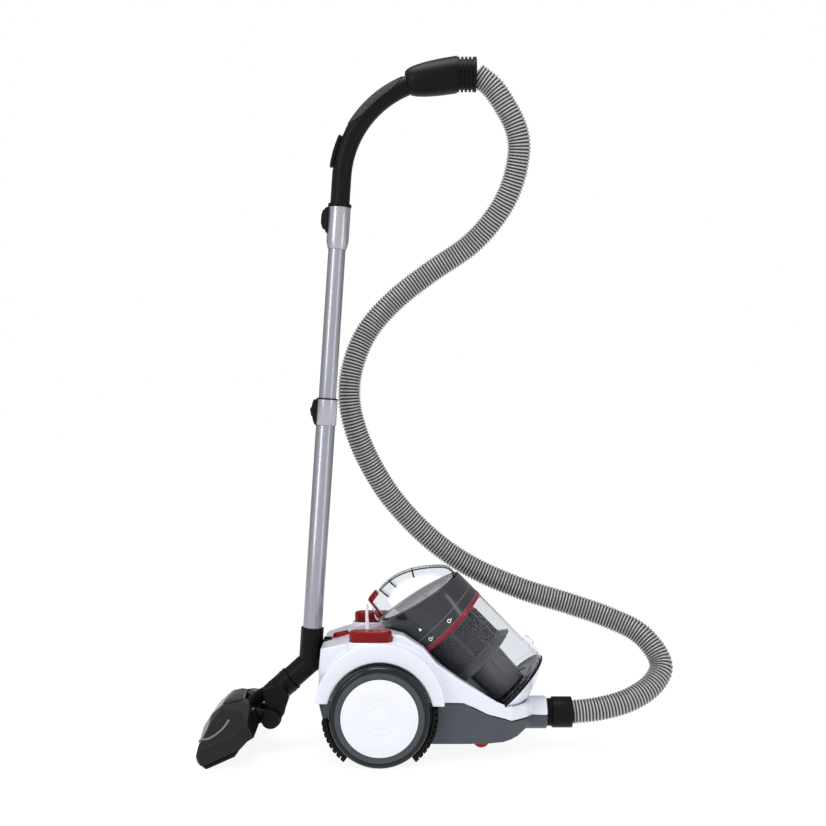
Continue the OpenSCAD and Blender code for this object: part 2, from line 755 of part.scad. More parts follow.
module pre_filter() { color("beige") at_bin() tube(bin_r - wall - 3, 14, 10, 30); }

// ---- Wand ----
module neck() {
    color("black") {
        difference() {
            union() {
                at_wand() translate([0, 0, elbow_t]) cylinder(r = neck_r, h = 3 - elbow_t);
                at_neck() sphere(r = neck_r + 0.5, $fn = 64);
                at_neck() cylinder(r = neck_r, h = neck_l);
                at_neck() cylinder(r = spigot_r, h = neck_l + 16);
            }
            at_wand() translate([0, 0, elbow_t]) cylinder(r = neck_r - 5, h = 90);
            at_wand() translate([0, 0, -socket_depth]) cylinder(r = low_tube_d / 2 + 0.1, h = 60);
            at_neck() cylinder(r = neck_r - 5, h = neck_l + 40);
            at_neck() sphere(r = neck_r - 4.5, $fn = 64);
        }
        on_body() block([wand_x + neck_r - 4, slot_face + 5], [-4, 4], [slot_z + 8, slot_z + 30]);
        on_body() block([slot_face + 3.6, -body_rear + 15], [-9, 9], [slot_z + 8, slot_z + 30]);
    }
}
module beyond(angle) {
    far = 150;
    slab_y([[0, 0], far * [cos(angle), sin(angle)], far * [-1, 1], far * [-1, -1], far * [0, -1]], -60, 60);
}
module neck_sleeve() {
    r = neck_r + 1.5;
    color("black") difference() {
        union() {
            at_neck() translate([0, 0, neck_l + 0.4]) cylinder(r = r, h = 70);
            at_pivot() sides() intersection() {
                slab_y([[-18, 0], [18, 0], [30, 36], [18, 60], [-12, 50]], arm_in, arm_in + arm_w);
                disc_y(70, 0, 60);
            }
            at_pivot() sides() disc_y(18, arm_in, arm_in + arm_w);
            at_pivot() slab_y([[16, 30], [30, 36], [22, 56], [2, 50]], -arm_in - arm_w, arm_in + arm_w);
        }
        at_neck() translate([0, 0, neck_l - 1]) cylinder(r = spigot_r + run, h = 18.4);
        at_neck() cylinder(r = neck_r - 5, h = neck_l + 90);
        at_pivot() difference() {
            beyond(bellows_from);
            sides() disc_y(18, arm_in, arm_in + arm_w);
        }
        at_pivot() disc_y(26, -arm_in, arm_in);
        at_pivot() disc_y(axle_r + run, -60, 60);
        at_pivot() sides() disc_y(roller_r + 1, arm_in + arm_w, 60);
    }
}
module neck_rollers() {
    color("dimgray") at_pivot() {
        disc_y(axle_r, -arm_in - arm_w - roller_w, arm_in + arm_w + roller_w);
        sides() disc_y(roller_r, arm_in + arm_w + slip, arm_in + arm_w + slip + roller_w);
    }
}
bellows_half = 17;
module neck_bellows() {
    gap = 0.5;
    color("black") at_pivot() rotate([90, 0, 0]) rotate([0, 0, bellows_from + gap]) difference() {
        rotate_extrude(angle = bellows_to - bellows_from - 2 * gap)
            translate([27, -bellows_half]) square([bellows_r - 27, 2 * bellows_half]);
        rotate([0, 0, -5]) rotate_extrude(angle = bellows_to - bellows_from + 10)
            translate([30, 3 - bellows_half]) square([bellows_r - 33, 2 * bellows_half - 6]);
    }
}
module lower_tube() {
    color("silver") at_wand() tube(low_tube_d / 2, low_in, -socket_depth, joint_t);
}
module slider_collar() {
    color("black") at_wand() difference() {
        union() {
            translate([0, 0, joint_t - 46]) cylinder(r = low_tube_d / 2 + 1.5, h = 47);
            slab_y([[-low_tube_d / 2 - 6, joint_t - 44], [0, joint_t - 44], [0, joint_t + 1],
                [-low_tube_d / 2 - 6, joint_t + 1]], -9, 9);
        }
        translate([0, 0, joint_t - 50]) cylinder(r = low_tube_d / 2, h = 50);
        translate([0, 0, joint_t - 9]) cylinder(r = up_tube_d / 2 + slip, h = 20);
        block([-low_tube_d / 2 - 9, -low_tube_d / 2 - 3.4], [-6.3, 6.3], [joint_t - 38, joint_t - 6]);
    }
}
module tube_slider() {
    r = low_tube_d / 2;
    color("dimgray") at_wand() slab_y([[-r - 4, joint_t - 32], [-r - 4, joint_t - 11.3],
        [-r - 8, joint_t - 11.3], [-r - 12, joint_t - 20], [-r - 9, joint_t - 32]], -6, 6);
}
module upper_tube() {
    color("silver") at_wand() difference() {
        tube(up_tube_d / 2, up_tube_d / 2 - tube_wall, joint_t - up_tube_hid, flange_t - 20);
        for (i = [0 : 5]) translate([-up_tube_d / 2 - 3.4, 0, joint_t + 30 + 34 * i])
            disc_y(4, -8, 8);
    }
}
module tube_collar() {
    r = collar_d / 2 - 0.5;
    color("silver") at_wand() difference() {
        union() {
            translate([0, 0, collar_t + 14]) cylinder(r = r, h = 60);
            translate([0, 0, collar_t]) cylinder(r1 = up_tube_d / 2 + 1, r2 = r, h = 14);
            block([-r - 7, 0], [-8, 8], [flange_t - 46, flange_t - 1]);
        }
        translate([0, 0, collar_t - 1]) cylinder(r = up_tube_d / 2, h = 56);
        translate([0, 0, collar_t + 30]) cylinder(r = grip_d / 2 - 0.9, h = 60);
        block([-r - 9, -r - 1.2], [-6.3, 6.3], [flange_t - 40, flange_t - 6]);
    }
}
module tube_release() {
    r = collar_d / 2 - 0.5;
    color("black") at_wand() slab_y([[-r - 4.5, flange_t - 39.5], [-r - 4.5, flange_t - 6.5],
        [-r - 9, flange_t - 6.5], [-r - 11.5, flange_t - 16], [-r - 11.5, flange_t - 30],
        [-r - 8, flange_t - 39.5]], -6, 6);
}

// ---- Handle ----
module grip_arc(r, from, to) {
    on_body() translate([grip_c[0], 0, grip_c[1]]) rotate([90, 0, 0]) rotate([0, 0, from])
        rotate_extrude(angle = to - from, $fn = 72) translate([grip_bend, 0]) circle(r = r);
}
module at_barrel() {
    on_body() translate([barrel_at[0], 0, barrel_at[1]]) rotate([0, 90 - barrel_rise, 0]) children();
}
module handle_tube() {
    color("black") difference() {
        union() {
            at_wand() cylinder_from(grip_d / 2, flange_t + 5, grip_start);
            at_wand() cylinder_from(collar_d / 2 + 0.5, flange_t + 0.2, flange_t + 5);
            at_wand() cylinder_from(grip_d / 2 - 1, flange_t - 36, flange_t + 5);
            grip_arc(grip_d / 2, grip_from, grip_to);
            at_wand() translate([0, 0, grip_start]) sphere(r = grip_d / 2 - 0.4);
        }
        at_wand() cylinder_from(grip_d / 2 - 3.5, flange_t - 50, grip_start);
        at_wand() cylinder_from(up_tube_d / 2 + 0.1, flange_t - 50, flange_t - 19.5);
        grip_arc(grip_d / 2 - 3.5, grip_from - 0.5, grip_to);
        at_barrel() translate([-60, -60, 0]) cube(120);
        grip_slot(grip_d / 2 - 1.6, pad_from - 0.3, pad_to + 0.3, 12.6);
        grip_slot(grip_d / 2 - 1.6, valve_from - 4, valve_to + 1, 8.6);
    }
}
module handle_barrel() {
    color("black") difference() {
        at_barrel() rotate_extrude() polygon([[0, 0.1], [grip_d / 2 + 6, 0.1], [barrel_d / 2 - 5, 4],
            [barrel_d / 2 - 1.5, 30], [barrel_d / 2, 50], [barrel_d / 2, barrel_l + 20],
            [0, barrel_l + 20]]);
        at_barrel() translate([0, 0, -1]) cylinder(r = grip_d / 2 - 3.5, h = barrel_l + 30);
        on_body() translate([cuff_x, -60, cuff_z - 80]) cube([60, 120, 160]);
        on_body() translate([0, 0, cuff_z]) disc_x(24 + run, cuff_x - 18, cuff_x + 1);
    }
}
module cylinder_from(r, from, to) { translate([0, 0, from]) cylinder(r = r, h = to - from); }
pad_from = 114;
pad_to = 148;
valve_from = 156;
valve_to = 172;
// Strip on the outside of the curve, from the given height over its middle line
module grip_slot(low, from, to, half) {
    on_body() translate([grip_c[0], 0, grip_c[1]]) rotate([90, 0, 0]) rotate([0, 0, from])
        rotate_extrude(angle = to - from, $fn = 72)
            translate([grip_bend + low, -half]) square([14, 2 * half]);
}
module grip_pad() {
    color("dimgray") intersection() {
        grip_slot(grip_d / 2 - 1.5, pad_from, pad_to, 12.3);
        grip_arc(grip_d / 2 + 2, pad_from - 1, pad_to + 1);
    }
}
module air_valve() {
    color("black") intersection() {
        grip_slot(grip_d / 2 - 1.3, valve_from, valve_to, 8.3);
        grip_arc(grip_d / 2 + 6, valve_from - 1, valve_to + 1);
    }
}
module handle_cuff() {
    bore = hose_d / 2 - 4;
    color("black") on_body() translate([cuff_x, 0, cuff_z]) rotate([0, 90, 0]) difference() {
        union() {
            translate([0, 0, -16]) cylinder(r = 24, h = 18);
            for (i = [0 : 4]) translate([0, 0, 0.4 + 6.8 * i]) cylinder(r = cuff_r, h = i == 4 ? 6 : 3.6);
            translate([0, 0, 1]) cylinder(r = cuff_r - 4, h = cuff_l - 1);
        }
        translate([0, 0, -20]) cylinder(r = bore, h = 80);
    }
}
module body_cuff() {
    bore = hose_d / 2 - 5.5;
    color("black") on_body() translate([body_nose, 0, socket_h]) rotate([0, 90, 0]) difference() {
        union() {
            translate([0, 0, -30]) cylinder(r = socket_bore - run, h = 31);
            translate([0, 0, 0.4]) cylinder(r = 22, h = 9.6);
            for (i = [0 : 2]) translate([0, 0, 0.4 + 3.2 * i]) cylinder(r = 24, h = 1.8);
            translate([0, 0, 9.5]) cylinder(r = 26.5, h = nose_cuff_l - 9.7);
        }
        translate([0, 0, -31]) cylinder(r = bore, h = 90);
    }
}

// ---- Floor head ----
head_plan = [[-head_w / 2 + 16, -124], [head_w / 2 - 16, -124], [head_w / 2 - 4, -117],
    [head_w / 2, -104], [head_w / 2, -36], [head_w / 2 - 9, -14], [-head_w / 2 + 9, -14],
    [-head_w / 2, -36], [-head_w / 2, -104], [-head_w / 2 + 4, -117]];
head_plan_xy = [for (p = head_plan) [p[1], -p[0]]];
// Front view of the head: full height over the neck, lower at both ends
head_crown = [[-head_w / 2 - 1, -50], [head_w / 2 + 1, -50], [head_w / 2 + 1, 33], [head_w / 2 - 40, 48],
    [44, 60], [-44, 60], [40 - head_w / 2, 48], [-head_w / 2 - 1, 33]];
module head_block(w) {
    intersection() {
        rotate([90, 0, 90]) translate([0, 0, -200]) linear_extrude(300) polygon(inset(head_crown, w));
        slab_y(inset(head_outline, w), -head_w, head_w);
        translate([0, 0, -50]) linear_extrude(150) polygon(inset(head_plan_xy, w));
    }
}
module head_boss(w, half) {
    slab_y([[-27 + w, 14], [-44 + w, 24], [-70, 20], [-50, -22], [-18 - w, -4]], -half, half);
}
module head_shell() {
    color("dimgray") difference() {
        union() {
            at_head() difference() {
                head_block(0);
                difference() {
                    head_block(head_wall);
                    block([-66, -28], [-pedal_half - 5, pedal_half + 5], [38, 80]);
                }
            }
            at_pivot() head_boss(0, 22);
            at_pivot() sides() intersection() {
                slab_y([[-40, -14], [0, -8], [8, 0], [0, 8], [-40, 20]], 18, 24);
                disc_y(60, 0, 60);
            }
            at_pivot() sides() disc_y(8, 18, 24);
        }
        at_pivot() disc_y(axle_r + run, -60, 60);
        at_pivot() beyond_boss();
        at_head() translate([-300, -200, -sole_drop - 9]) cube([400, 400, sole_t + 9]);
        at_head() block([-63, -31], [-pedal_half - 1, pedal_half + 1], [41, 80]);
        at_head() translate([pedal_x, 0, pedal_z]) disc_y(2 + run, -pedal_half - 4, pedal_half + 4);
        at_head() difference() {
            head_block(head_wall);
            block([-66, -28], [-pedal_half - 5, pedal_half + 5], [38, 80]);
            block([-36, 0], [-40, 40], [-40, 60]);
        }
        at_pivot() translate([-34, 0, 19]) rotate([0, -120, 0])
            translate([0, 0, -20]) cylinder(r = 12, h = 60);
    }
}
// Keeps the boss behind the bellows' end face
module beyond_boss() {
    far = 90;
    slab_y([[-14, 8], far * [cos(bellows_to), sin(bellows_to)], far * [0.2, 1], far * [1, 0.2]],
        -bellows_half - 0.6, bellows_half + 0.6);
}
module sole_plate() {
    color("black") at_head() difference() {
        intersection() {
            head_block(0);
            translate([-300, -200, -sole_drop]) cube([400, 400, sole_t - 0.2]);
        }
        block([-91, -77], [-head_w / 2 + 25, head_w / 2 - 25], [-sole_drop - 1, 0]);
        for (x = brush_x)
            block([x - 2.4, x + 2.4], [-head_w / 2 + 29.6, head_w / 2 - 29.6], [-sole_drop - 1, 0]);
    }
}
module brush_strips() {
    color("gray") at_head() for (x = brush_x)
        block([x - 2, x + 2], [-head_w / 2 + 30, head_w / 2 - 30], [-sole_drop + 0.6, -sole_drop + 12]);
}
module foot_pedal() {
    color("dimgray") at_head() {
        slab_y([[-62, 46.5], [-32, 46.5], [-32, 52], [-40, 57], [-54, 60], [-62, 59]],
            -pedal_half, pedal_half);
        translate([pedal_x, 0, pedal_z]) disc_y(2, -pedal_half - 3, pedal_half + 3);
    }
}

// ---- Hose ----
function spline(p, i, t) =
    let (n = len(p) - 1, a = p[max(i - 1, 0)], b = p[i], c = p[i + 1], d = p[min(i + 2, n)])
    0.5 * (2 * b + (c - a) * t + (2 * a - 5 * b + 4 * c - d) * t * t + (3 * b - a - 3 * c + d) * t * t * t);
function unit(v) = v / norm(v);
hose_line = concat([for (i = [0 : len(hose_route) - 2]) for (k = [0 : hose_steps - 1])
    spline(hose_route, i, k / hose_steps)], [hose_route[len(hose_route) - 1]]);
function heading(i) = let (n = len(hose_line) - 1) i == 0 ? [1, 0, 0] : i == n ? [-1, 0, 0] :
    unit(hose_line[i + 1] - hose_line[i - 1]);
function ring_at(i, r) = let (h = heading(i), u = unit(cross(h, [0, 1, 0])), v = cross(h, u))
    [for (k = [0 : hose_sides - 1]) let (a = 360 * k / hose_sides)
        hose_line[i] + r * (u * cos(a) + v * sin(a))];
// Hollow tube along part of the route: outer skin, inner skin and two end rings
module hose_run(first, last) {
    m = hose_sides;
    n = last - first;
    outer = [for (i = [first : last]) each ring_at(i, hose_d / 2)];
    inner = [for (i = [first : last]) each ring_at(i, hose_d / 2 - hose_wall)];
    base = len(outer);
    out_skin = [for (i = [0 : n - 1]) for (k = [0 : m - 1])
        let (a = i * m + k, b = i * m + (k + 1) % m) each [[a, a + m, b], [b, a + m, b + m]]];
    in_skin = [for (f = out_skin) [f[0] + base, f[2] + base, f[1] + base]];
    ends = [for (k = [0 : m - 1]) let (j = (k + 1) % m, e = n * m) each
        [[k, j, base + k], [j, base + j, base + k],
        [e + k, base + e + k, e + j], [e + j, base + e + k, base + e + j]]];
    polyhedron(concat(outer, inner), concat(out_skin, in_skin, ends), convexity = 10);
}
module hose_lower_run() { color("gray") on_body() hose_run(0, hose_split * hose_steps); }
module hose_upper_run() { color("gray") on_body() hose_run(hose_split * hose_steps, len(hose_line) - 1); }

upper_housing();
lower_housing();
wheel_grilles();
inlet_duct();
latch_hook();
parking_slot();
dust_indicator();
steel_axles();
motor_housing();
motor_core();
motor_mount();
impeller();
hepa_filter();
cord_reel();
cord_outlet();
circuit_board();
housing_screws();
outlet_gasket();
power_spring();
rewind_spring();
power_pedal();
rewind_pedal();
left_tyre();
right_tyre();
left_wheel_disc();
right_wheel_disc();
caster_fork();
caster_roller();
bin_cup();
bin_base();
cyclone_body();
mesh_shroud();
bin_housing();
red_ring();
bin_lid();
bin_handle();
pre_filter();
release_button();
neck();
neck_sleeve();
neck_rollers();
neck_bellows();
lower_tube();
slider_collar();
tube_slider();
upper_tube();
tube_collar();
tube_release();
handle_tube();
handle_barrel();
grip_pad();
air_valve();
handle_cuff();
body_cuff();
head_shell();
sole_plate();
brush_strips();
foot_pedal();
hose_lower_run();
hose_upper_run();
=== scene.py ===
import json
import math

import bmesh
import bpy
from mathutils import Matrix, Vector
from mathutils.bvhtree import BVHTree


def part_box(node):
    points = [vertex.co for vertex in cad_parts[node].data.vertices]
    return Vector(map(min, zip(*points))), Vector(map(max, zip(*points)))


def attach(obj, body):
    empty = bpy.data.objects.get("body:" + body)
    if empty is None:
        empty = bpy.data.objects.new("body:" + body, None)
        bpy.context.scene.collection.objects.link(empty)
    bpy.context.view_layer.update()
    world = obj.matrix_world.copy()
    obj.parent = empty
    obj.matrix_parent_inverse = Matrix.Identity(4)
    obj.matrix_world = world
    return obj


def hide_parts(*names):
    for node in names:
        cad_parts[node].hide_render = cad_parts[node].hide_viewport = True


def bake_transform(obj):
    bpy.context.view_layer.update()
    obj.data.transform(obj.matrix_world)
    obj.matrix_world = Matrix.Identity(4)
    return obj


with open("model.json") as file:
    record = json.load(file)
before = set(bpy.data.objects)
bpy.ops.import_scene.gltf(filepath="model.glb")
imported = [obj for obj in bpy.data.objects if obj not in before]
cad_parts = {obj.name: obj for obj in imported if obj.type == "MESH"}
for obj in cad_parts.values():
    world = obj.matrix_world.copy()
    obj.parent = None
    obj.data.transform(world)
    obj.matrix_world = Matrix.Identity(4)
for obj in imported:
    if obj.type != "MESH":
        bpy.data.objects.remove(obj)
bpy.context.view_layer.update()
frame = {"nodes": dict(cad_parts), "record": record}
print("stage: frame loaded")

# ---- where things are: millimetres from the wheel axle, turned into the shared frame ----
tyreLow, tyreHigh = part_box("left_tyre")
axleX = (tyreLow.x + tyreHigh.x) / 2
axleZ = (tyreLow.z + tyreHigh.z) / 2


def place(x, y, z):
    return Vector((axleX + x / 1000, y / 1000, z / 1000))


def turned(spot, degrees):
    return Matrix.Translation(spot) @ Matrix.Rotation(math.radians(degrees), 4, "Y")


frames = {
    "row": Matrix.Identity(4),
    "bin": turned(place(113.7, 0, 214.7), -45),
    "wand": turned(place(-121, 0, 206.5), 3.7),
    "neck": turned(place(-124.65, 0, 150.02), 228.2),
    "pivot": turned(place(-189.65, 0, 58.02), 0),
    "head": turned(place(-189.65, 0, 58.02), -24),
    "nose": turned(place(288, 0, 61), 90),
    "barrel": turned(place(45.49, 0, 1162.44), 80.8),
    "cuff": turned(place(131.99, 0, 1176.45), 90),
}
lidSeat = Matrix.Translation((0, 0, 0.068)) @ Matrix.Rotation(math.radians(13.5), 4, "Y")
frames["lid"] = frames["bin"] @ lidSeat

# ---- camera ----
camera = {"distance": 2.0, "aside": 41.6, "height": 584, "lens": 49.8}
cameraData = bpy.data.cameras.new("camera")
cameraData.lens = camera["lens"]
cameraObject = bpy.data.objects.new("camera", cameraData)
cameraObject.location = (camera["aside"] / 1000, -camera["distance"], camera["height"] / 1000)
cameraObject.rotation_euler = (math.radians(90), 0, 0)
bpy.context.scene.collection.objects.link(cameraObject)
bpy.context.scene.camera = cameraObject


# ---- shader helpers ----
class Wire:  # one output socket; sums and products on it add Math nodes
    def __init__(self, tree, socket):
        self.tree = tree
        self.socket = socket

    def maths(self, operation, first, second):
        return node(self.tree, "ShaderNodeMath", {"operation": operation}, [first, second])

    def __add__(self, other):
        return self.maths("ADD", self, other)

    def __radd__(self, other):
        return self.maths("ADD", other, self)

    def __sub__(self, other):
        return self.maths("SUBTRACT", self, other)

    def __rsub__(self, other):
        return self.maths("SUBTRACT", other, self)

    def __mul__(self, other):
        return self.maths("MULTIPLY", self, other)

    def __rmul__(self, other):
        return self.maths("MULTIPLY", other, self)


def node(tree, kind, settings, inputs, output=0):
    made = tree.nodes.new(kind)
    for name, value in settings.items():
        if name == "stops":
            for stop, (position, shade) in zip(made.color_ramp.elements, value):
                stop.position = position
                stop.color = shade
        else:
            setattr(made, name, value)
    pairs = inputs.items() if isinstance(inputs, dict) else enumerate(inputs)
    for name, value in pairs:
        if isinstance(value, Wire):
            tree.links.new(value.socket, made.inputs[name])
        else:
            made.inputs[name].default_value = value
    return Wire(tree, made.outputs[output]) if made.outputs else None


def newMaterial(name):
    material = bpy.data.materials.new(name)
    material.use_nodes = True
    material.node_tree.nodes.clear()
    return material, material.node_tree


def blended(tree, factor, first, second):
    inputs = {0: factor, 6: first, 7: second}
    return node(tree, "ShaderNodeMix", {"data_type": "RGBA"}, inputs, 2)


def shaded(tree, inputs):
    inputs = {"IOR": 1.5, **inputs}
    surface = node(tree, "ShaderNodeBsdfPrincipled", {}, inputs)
    node(tree, "ShaderNodeOutputMaterial", {}, {"Surface": surface})


def tone(shade, factor):
    return tuple(min(1, part * factor) for part in shade) + (1,)


def noise(tree, spot, scale, detail=3.0):
    inputs = {"Vector": spot, "Scale": scale, "Detail": detail}
    return node(tree, "ShaderNodeTexNoise", {}, inputs)


# Moulded or painted finish: faint mottle in the colour, fine grain in the gloss and the bump
def finish(name, look):
    material, tree = newMaterial(name)
    spot = node(tree, "ShaderNodeTexCoord", {}, {}, "Object")
    mottle = noise(tree, spot, look.get("mottleScale", 9.0))
    grain = noise(tree, spot, look.get("grainScale", 900.0), 2.0)
    spread = look.get("spread", 0.06)
    colour = blended(tree, mottle, tone(look["colour"], 1 - spread), tone(look["colour"], 1 + spread))
    smear = noise(tree, spot, 26.0)
    rough = smear * look.get("smear", 0.06) + (look["rough"] - look.get("smear", 0.06) / 2)
    inputs = {"Strength": look.get("bump", 0.05), "Distance": 0.0004, "Height": grain}
    normal = node(tree, "ShaderNodeBump", {}, inputs)
    values = {"Base Color": colour, "Roughness": rough, "Normal": normal}
    shaded(tree, {**values, **look.get("fixed", {})})
    return material


# Clear moulding: the smear in its gloss is what shows that it is there
def clearFinish(name, look):
    material, tree = newMaterial(name)
    spot = node(tree, "ShaderNodeTexCoord", {}, {}, "Object")
    smear = noise(tree, spot, 30.0)
    rough = smear * 0.05 + look["rough"]
    colour = blended(tree, smear, tone(look["colour"], 0.97), tone(look["colour"], 1.0))
    fixed = {"Transmission Weight": 1.0, "IOR": look.get("ior", 1.3)}
    shaded(tree, {"Base Color": colour, "Roughness": rough, **fixed})
    return material


dull = {"Specular IOR Level": 0.13}
looks = {
    "shellWhite": {"colour": (0.74, 0.76, 0.85), "rough": 0.18, "spread": 0.012, "bump": 0.02,
                   "fixed": {"Coat Weight": 0.5, "Coat Roughness": 0.05}},
    "discWhite": {"colour": (0.79, 0.80, 0.86), "rough": 0.24, "spread": 0.012, "bump": 0.02,
                  "fixed": {"Coat Weight": 0.3, "Coat Roughness": 0.06}},
    "shellSlate": {"colour": (0.054, 0.063, 0.081), "rough": 0.34, "bump": 0.10,
                   "fixed": {"Specular IOR Level": 0.35}},
    "grilleBlack": {"colour": (0.004, 0.004, 0.005), "rough": 0.40, "bump": 0.10, "fixed": dull},
    "satinBlack": {"colour": (0.0030, 0.0030, 0.0042), "rough": 0.38, "bump": 0.14, "smear": 0.10,
                   "fixed": dull},
    "cuffBlack": {"colour": (0.003, 0.003, 0.004), "rough": 0.46, "bump": 0.16, "fixed": dull},
    "rubberBlack": {"colour": (0.006, 0.006, 0.007), "rough": 0.55, "bump": 0.25, "fixed": dull},
    "tyreSlate": {"colour": (0.052, 0.060, 0.075), "rough": 0.42, "bump": 0.10, "mottleScale": 20.0,
                  "fixed": {"Specular IOR Level": 0.3}},
    # tyre shoulder: its near-black is painted shade and reflection, standing in for the dark fender over
    # the tyre's top, laid all round
    "tyreShoulderPaintedShade": {"colour": (0.006, 0.007, 0.010), "rough": 0.14, "bump": 0.03,
                     "fixed": {"Specular IOR Level": 0.3}},
    "steelBright": {"colour": (0.62, 0.62, 0.64), "rough": 0.28, "fixed": {"Metallic": 1.0}},
    "canGrey": {"colour": (0.16, 0.16, 0.17), "rough": 0.5, "bump": 0.2},
    "coreSteel": {"colour": (0.35, 0.32, 0.28), "rough": 0.42, "fixed": {"Metallic": 0.8}},
    "filterPaper": {"colour": (0.82, 0.82, 0.78), "rough": 0.9, "bump": 0.5, "grainScale": 400.0},
    "boardGreen": {"colour": (0.02, 0.14, 0.05), "rough": 0.4},
    "ringCrimson": {"colour": (0.30, 0.010, 0.035), "rough": 0.24,
                    "fixed": {"Metallic": 0.3, "Specular IOR Level": 0.3}},
    "casterRed": {"colour": (0.36, 0.008, 0.010), "rough": 0.30, "fixed": {"Specular IOR Level": 0.3}},
    "housingSmoke": {"colour": (0.015, 0.018, 0.022), "rough": 0.16, "bump": 0.02,
                     "fixed": {"Coat Weight": 0.12, "Coat Roughness": 0.04}},
    "shroudGrey": {"colour": (0.105, 0.108, 0.118), "rough": 0.45},
    "coneGrey": {"colour": (0.140, 0.143, 0.155), "rough": 0.3, "bump": 0.05},
    "floorInk": {"colour": (0.010, 0.011, 0.022), "rough": 0.25},
    "lidSilver": {"colour": (0.42, 0.43, 0.47), "rough": 0.24, "fixed": {"Metallic": 0.75}},
    "tubeSilver": {"colour": (0.36, 0.365, 0.41), "rough": 0.30, "bump": 0.05, "grainScale": 1400.0,
                   "fixed": {"Metallic": 0.92}},
    "collarSilver": {"colour": (0.43, 0.435, 0.48), "rough": 0.27, "bump": 0.04,
                     "fixed": {"Metallic": 0.9}},
    "headCharcoal": {"colour": (0.006, 0.0062, 0.0078), "rough": 0.20, "bump": 0.05,
                     "fixed": {"Specular IOR Level": 0.25}},
    "headHood": {"colour": (0.018, 0.019, 0.022), "rough": 0.28, "bump": 0.08},
    "markGrey": {"colour": (0.16, 0.165, 0.17), "rough": 0.5},
    "markWhite": {"colour": (0.9, 0.9, 0.9), "rough": 0.5},
    "foamCream": {"colour": (0.7, 0.66, 0.5), "rough": 0.95, "bump": 0.8, "grainScale": 500.0},
    "bristleGrey": {"colour": (0.03, 0.03, 0.032), "rough": 0.8, "bump": 0.7, "grainScale": 1500.0},
}
materials = {name: finish(name, look) for name, look in looks.items()}
clearLooks = {
    "cupClear": {"colour": (0.86, 0.87, 0.90), "rough": 0.015, "ior": 1.14},
    "handleClear": {"colour": (0.88, 0.90, 0.93), "rough": 0.03, "ior": 1.33},
}
for name, look in clearLooks.items():
    materials[name] = clearFinish(name, look)


def pedalFinish():  # deep red gloss with a slow change of depth
    material, tree = newMaterial("pedalGloss")
    spot = node(tree, "ShaderNodeTexCoord", {}, {}, "Object")
    mottle = noise(tree, spot, 24.0)
    colour = blended(tree, mottle, (0.15, 0.0010, 0.0015, 1), (0.25, 0.0030, 0.0040, 1))
    rough = mottle * 0.05 + 0.09
    fixed = {"Specular IOR Level": 0.18}
    shaded(tree, {"Base Color": colour, "Roughness": rough, **fixed})
    return material


def hoseFinish():  # bright crests over dark grooves, from the piece's own attribute
    material, tree = newMaterial("hoseRib")
    crest = node(tree, "ShaderNodeAttribute", {"attribute_name": "crest"}, {}, "Fac")
    spot = node(tree, "ShaderNodeTexCoord", {}, {}, "Object")
    dust = noise(tree, spot, 60.0)
    colour = blended(tree, crest, (0.004, 0.004, 0.005, 1), (0.60, 0.605, 0.625, 1))
    colour = blended(tree, dust * 0.12, colour, (0.16, 0.16, 0.17, 1))
    rough = dust * 0.1 + 0.36
    values = {"Base Color": colour, "Roughness": rough, "Metallic": crest * 0.3}
    shaded(tree, {**values, "Specular IOR Level": 0.3})
    return material


def padFinish():  # small raised cells on the soft pad
    material, tree = newMaterial("padGrain")
    spot = node(tree, "ShaderNodeTexCoord", {}, {}, "Object")
    cells = node(tree, "ShaderNodeTexVoronoi", {}, {"Vector": spot, "Scale": 420.0}, "Distance")
    inputs = {"Strength": 0.9, "Distance": 0.0006, "Height": cells}
    normal = node(tree, "ShaderNodeBump", {}, inputs)
    colour = blended(tree, cells, (0.008, 0.009, 0.010, 1), (0.060, 0.063, 0.068, 1))
    shaded(tree, {"Base Color": colour, "Roughness": 0.6, "Normal": normal, **dull})
    return material


materials["pedalGloss"] = pedalFinish()
materials["hoseRib"] = hoseFinish()
materials["padGrain"] = padFinish()
print("stage: materials")


# ---- mesh helpers ----
def moved(bm, matrix, verts=None):
    bmesh.ops.transform(bm, matrix=matrix, verts=verts or bm.verts)


def sharpEdges(bm, degrees):
    limit = math.radians(degrees)
    return [e for e in bm.edges if len(e.link_faces) == 2 and e.calc_face_angle(0) > limit]


def soften(bm, width, segments=2, degrees=28):
    edges = sharpEdges(bm, degrees)
    options = {"affect": "EDGES", "profile": 0.5, "material": -1, "clamp_overlap": True}
    bmesh.ops.bevel(bm, geom=edges, offset=width, segments=segments, **options)


# Turns an outline of (radius, height) millimetres round its Z axis
def spun(bm, outline, steps=72, closed=False, matrix=None, angle=360):
    before = set(bm.verts)
    verts = [bm.verts.new((r / 1000, 0, z / 1000)) for r, z in outline]
    pairs = list(zip(verts, verts[1:]))
    if closed:
        pairs.append((verts[-1], verts[0]))
    edges = [bm.edges.new(pair) for pair in pairs]
    full = abs(angle - 360) < 0.01
    turn = {"cent": (0, 0, 0), "axis": (0, 0, 1), "angle": math.radians(angle), "steps": steps}
    bmesh.ops.spin(bm, geom=verts + edges, use_merge=full, **turn)
    new = [v for v in bm.verts if v not in before]
    bmesh.ops.remove_doubles(bm, verts=new, dist=2e-6)
    new = [v for v in bm.verts if v not in before]
    if matrix is not None:
        moved(bm, matrix, new)
    return new


# A flat outline of (x, z) millimetres, thickened across from one Y to another
def slab(bm, outline, low, high, matrix=None):
    verts = [bm.verts.new((x / 1000, low / 1000, z / 1000)) for x, z in outline]
    face = bm.faces.new(verts)
    grown = bmesh.ops.extrude_face_region(bm, geom=[face])["geom"]
    far = [g for g in grown if isinstance(g, bmesh.types.BMVert)]
    bmesh.ops.translate(bm, vec=(0, (high - low) / 1000, 0), verts=far)
    if matrix is not None:
        moved(bm, matrix, verts + far)
    return verts + far


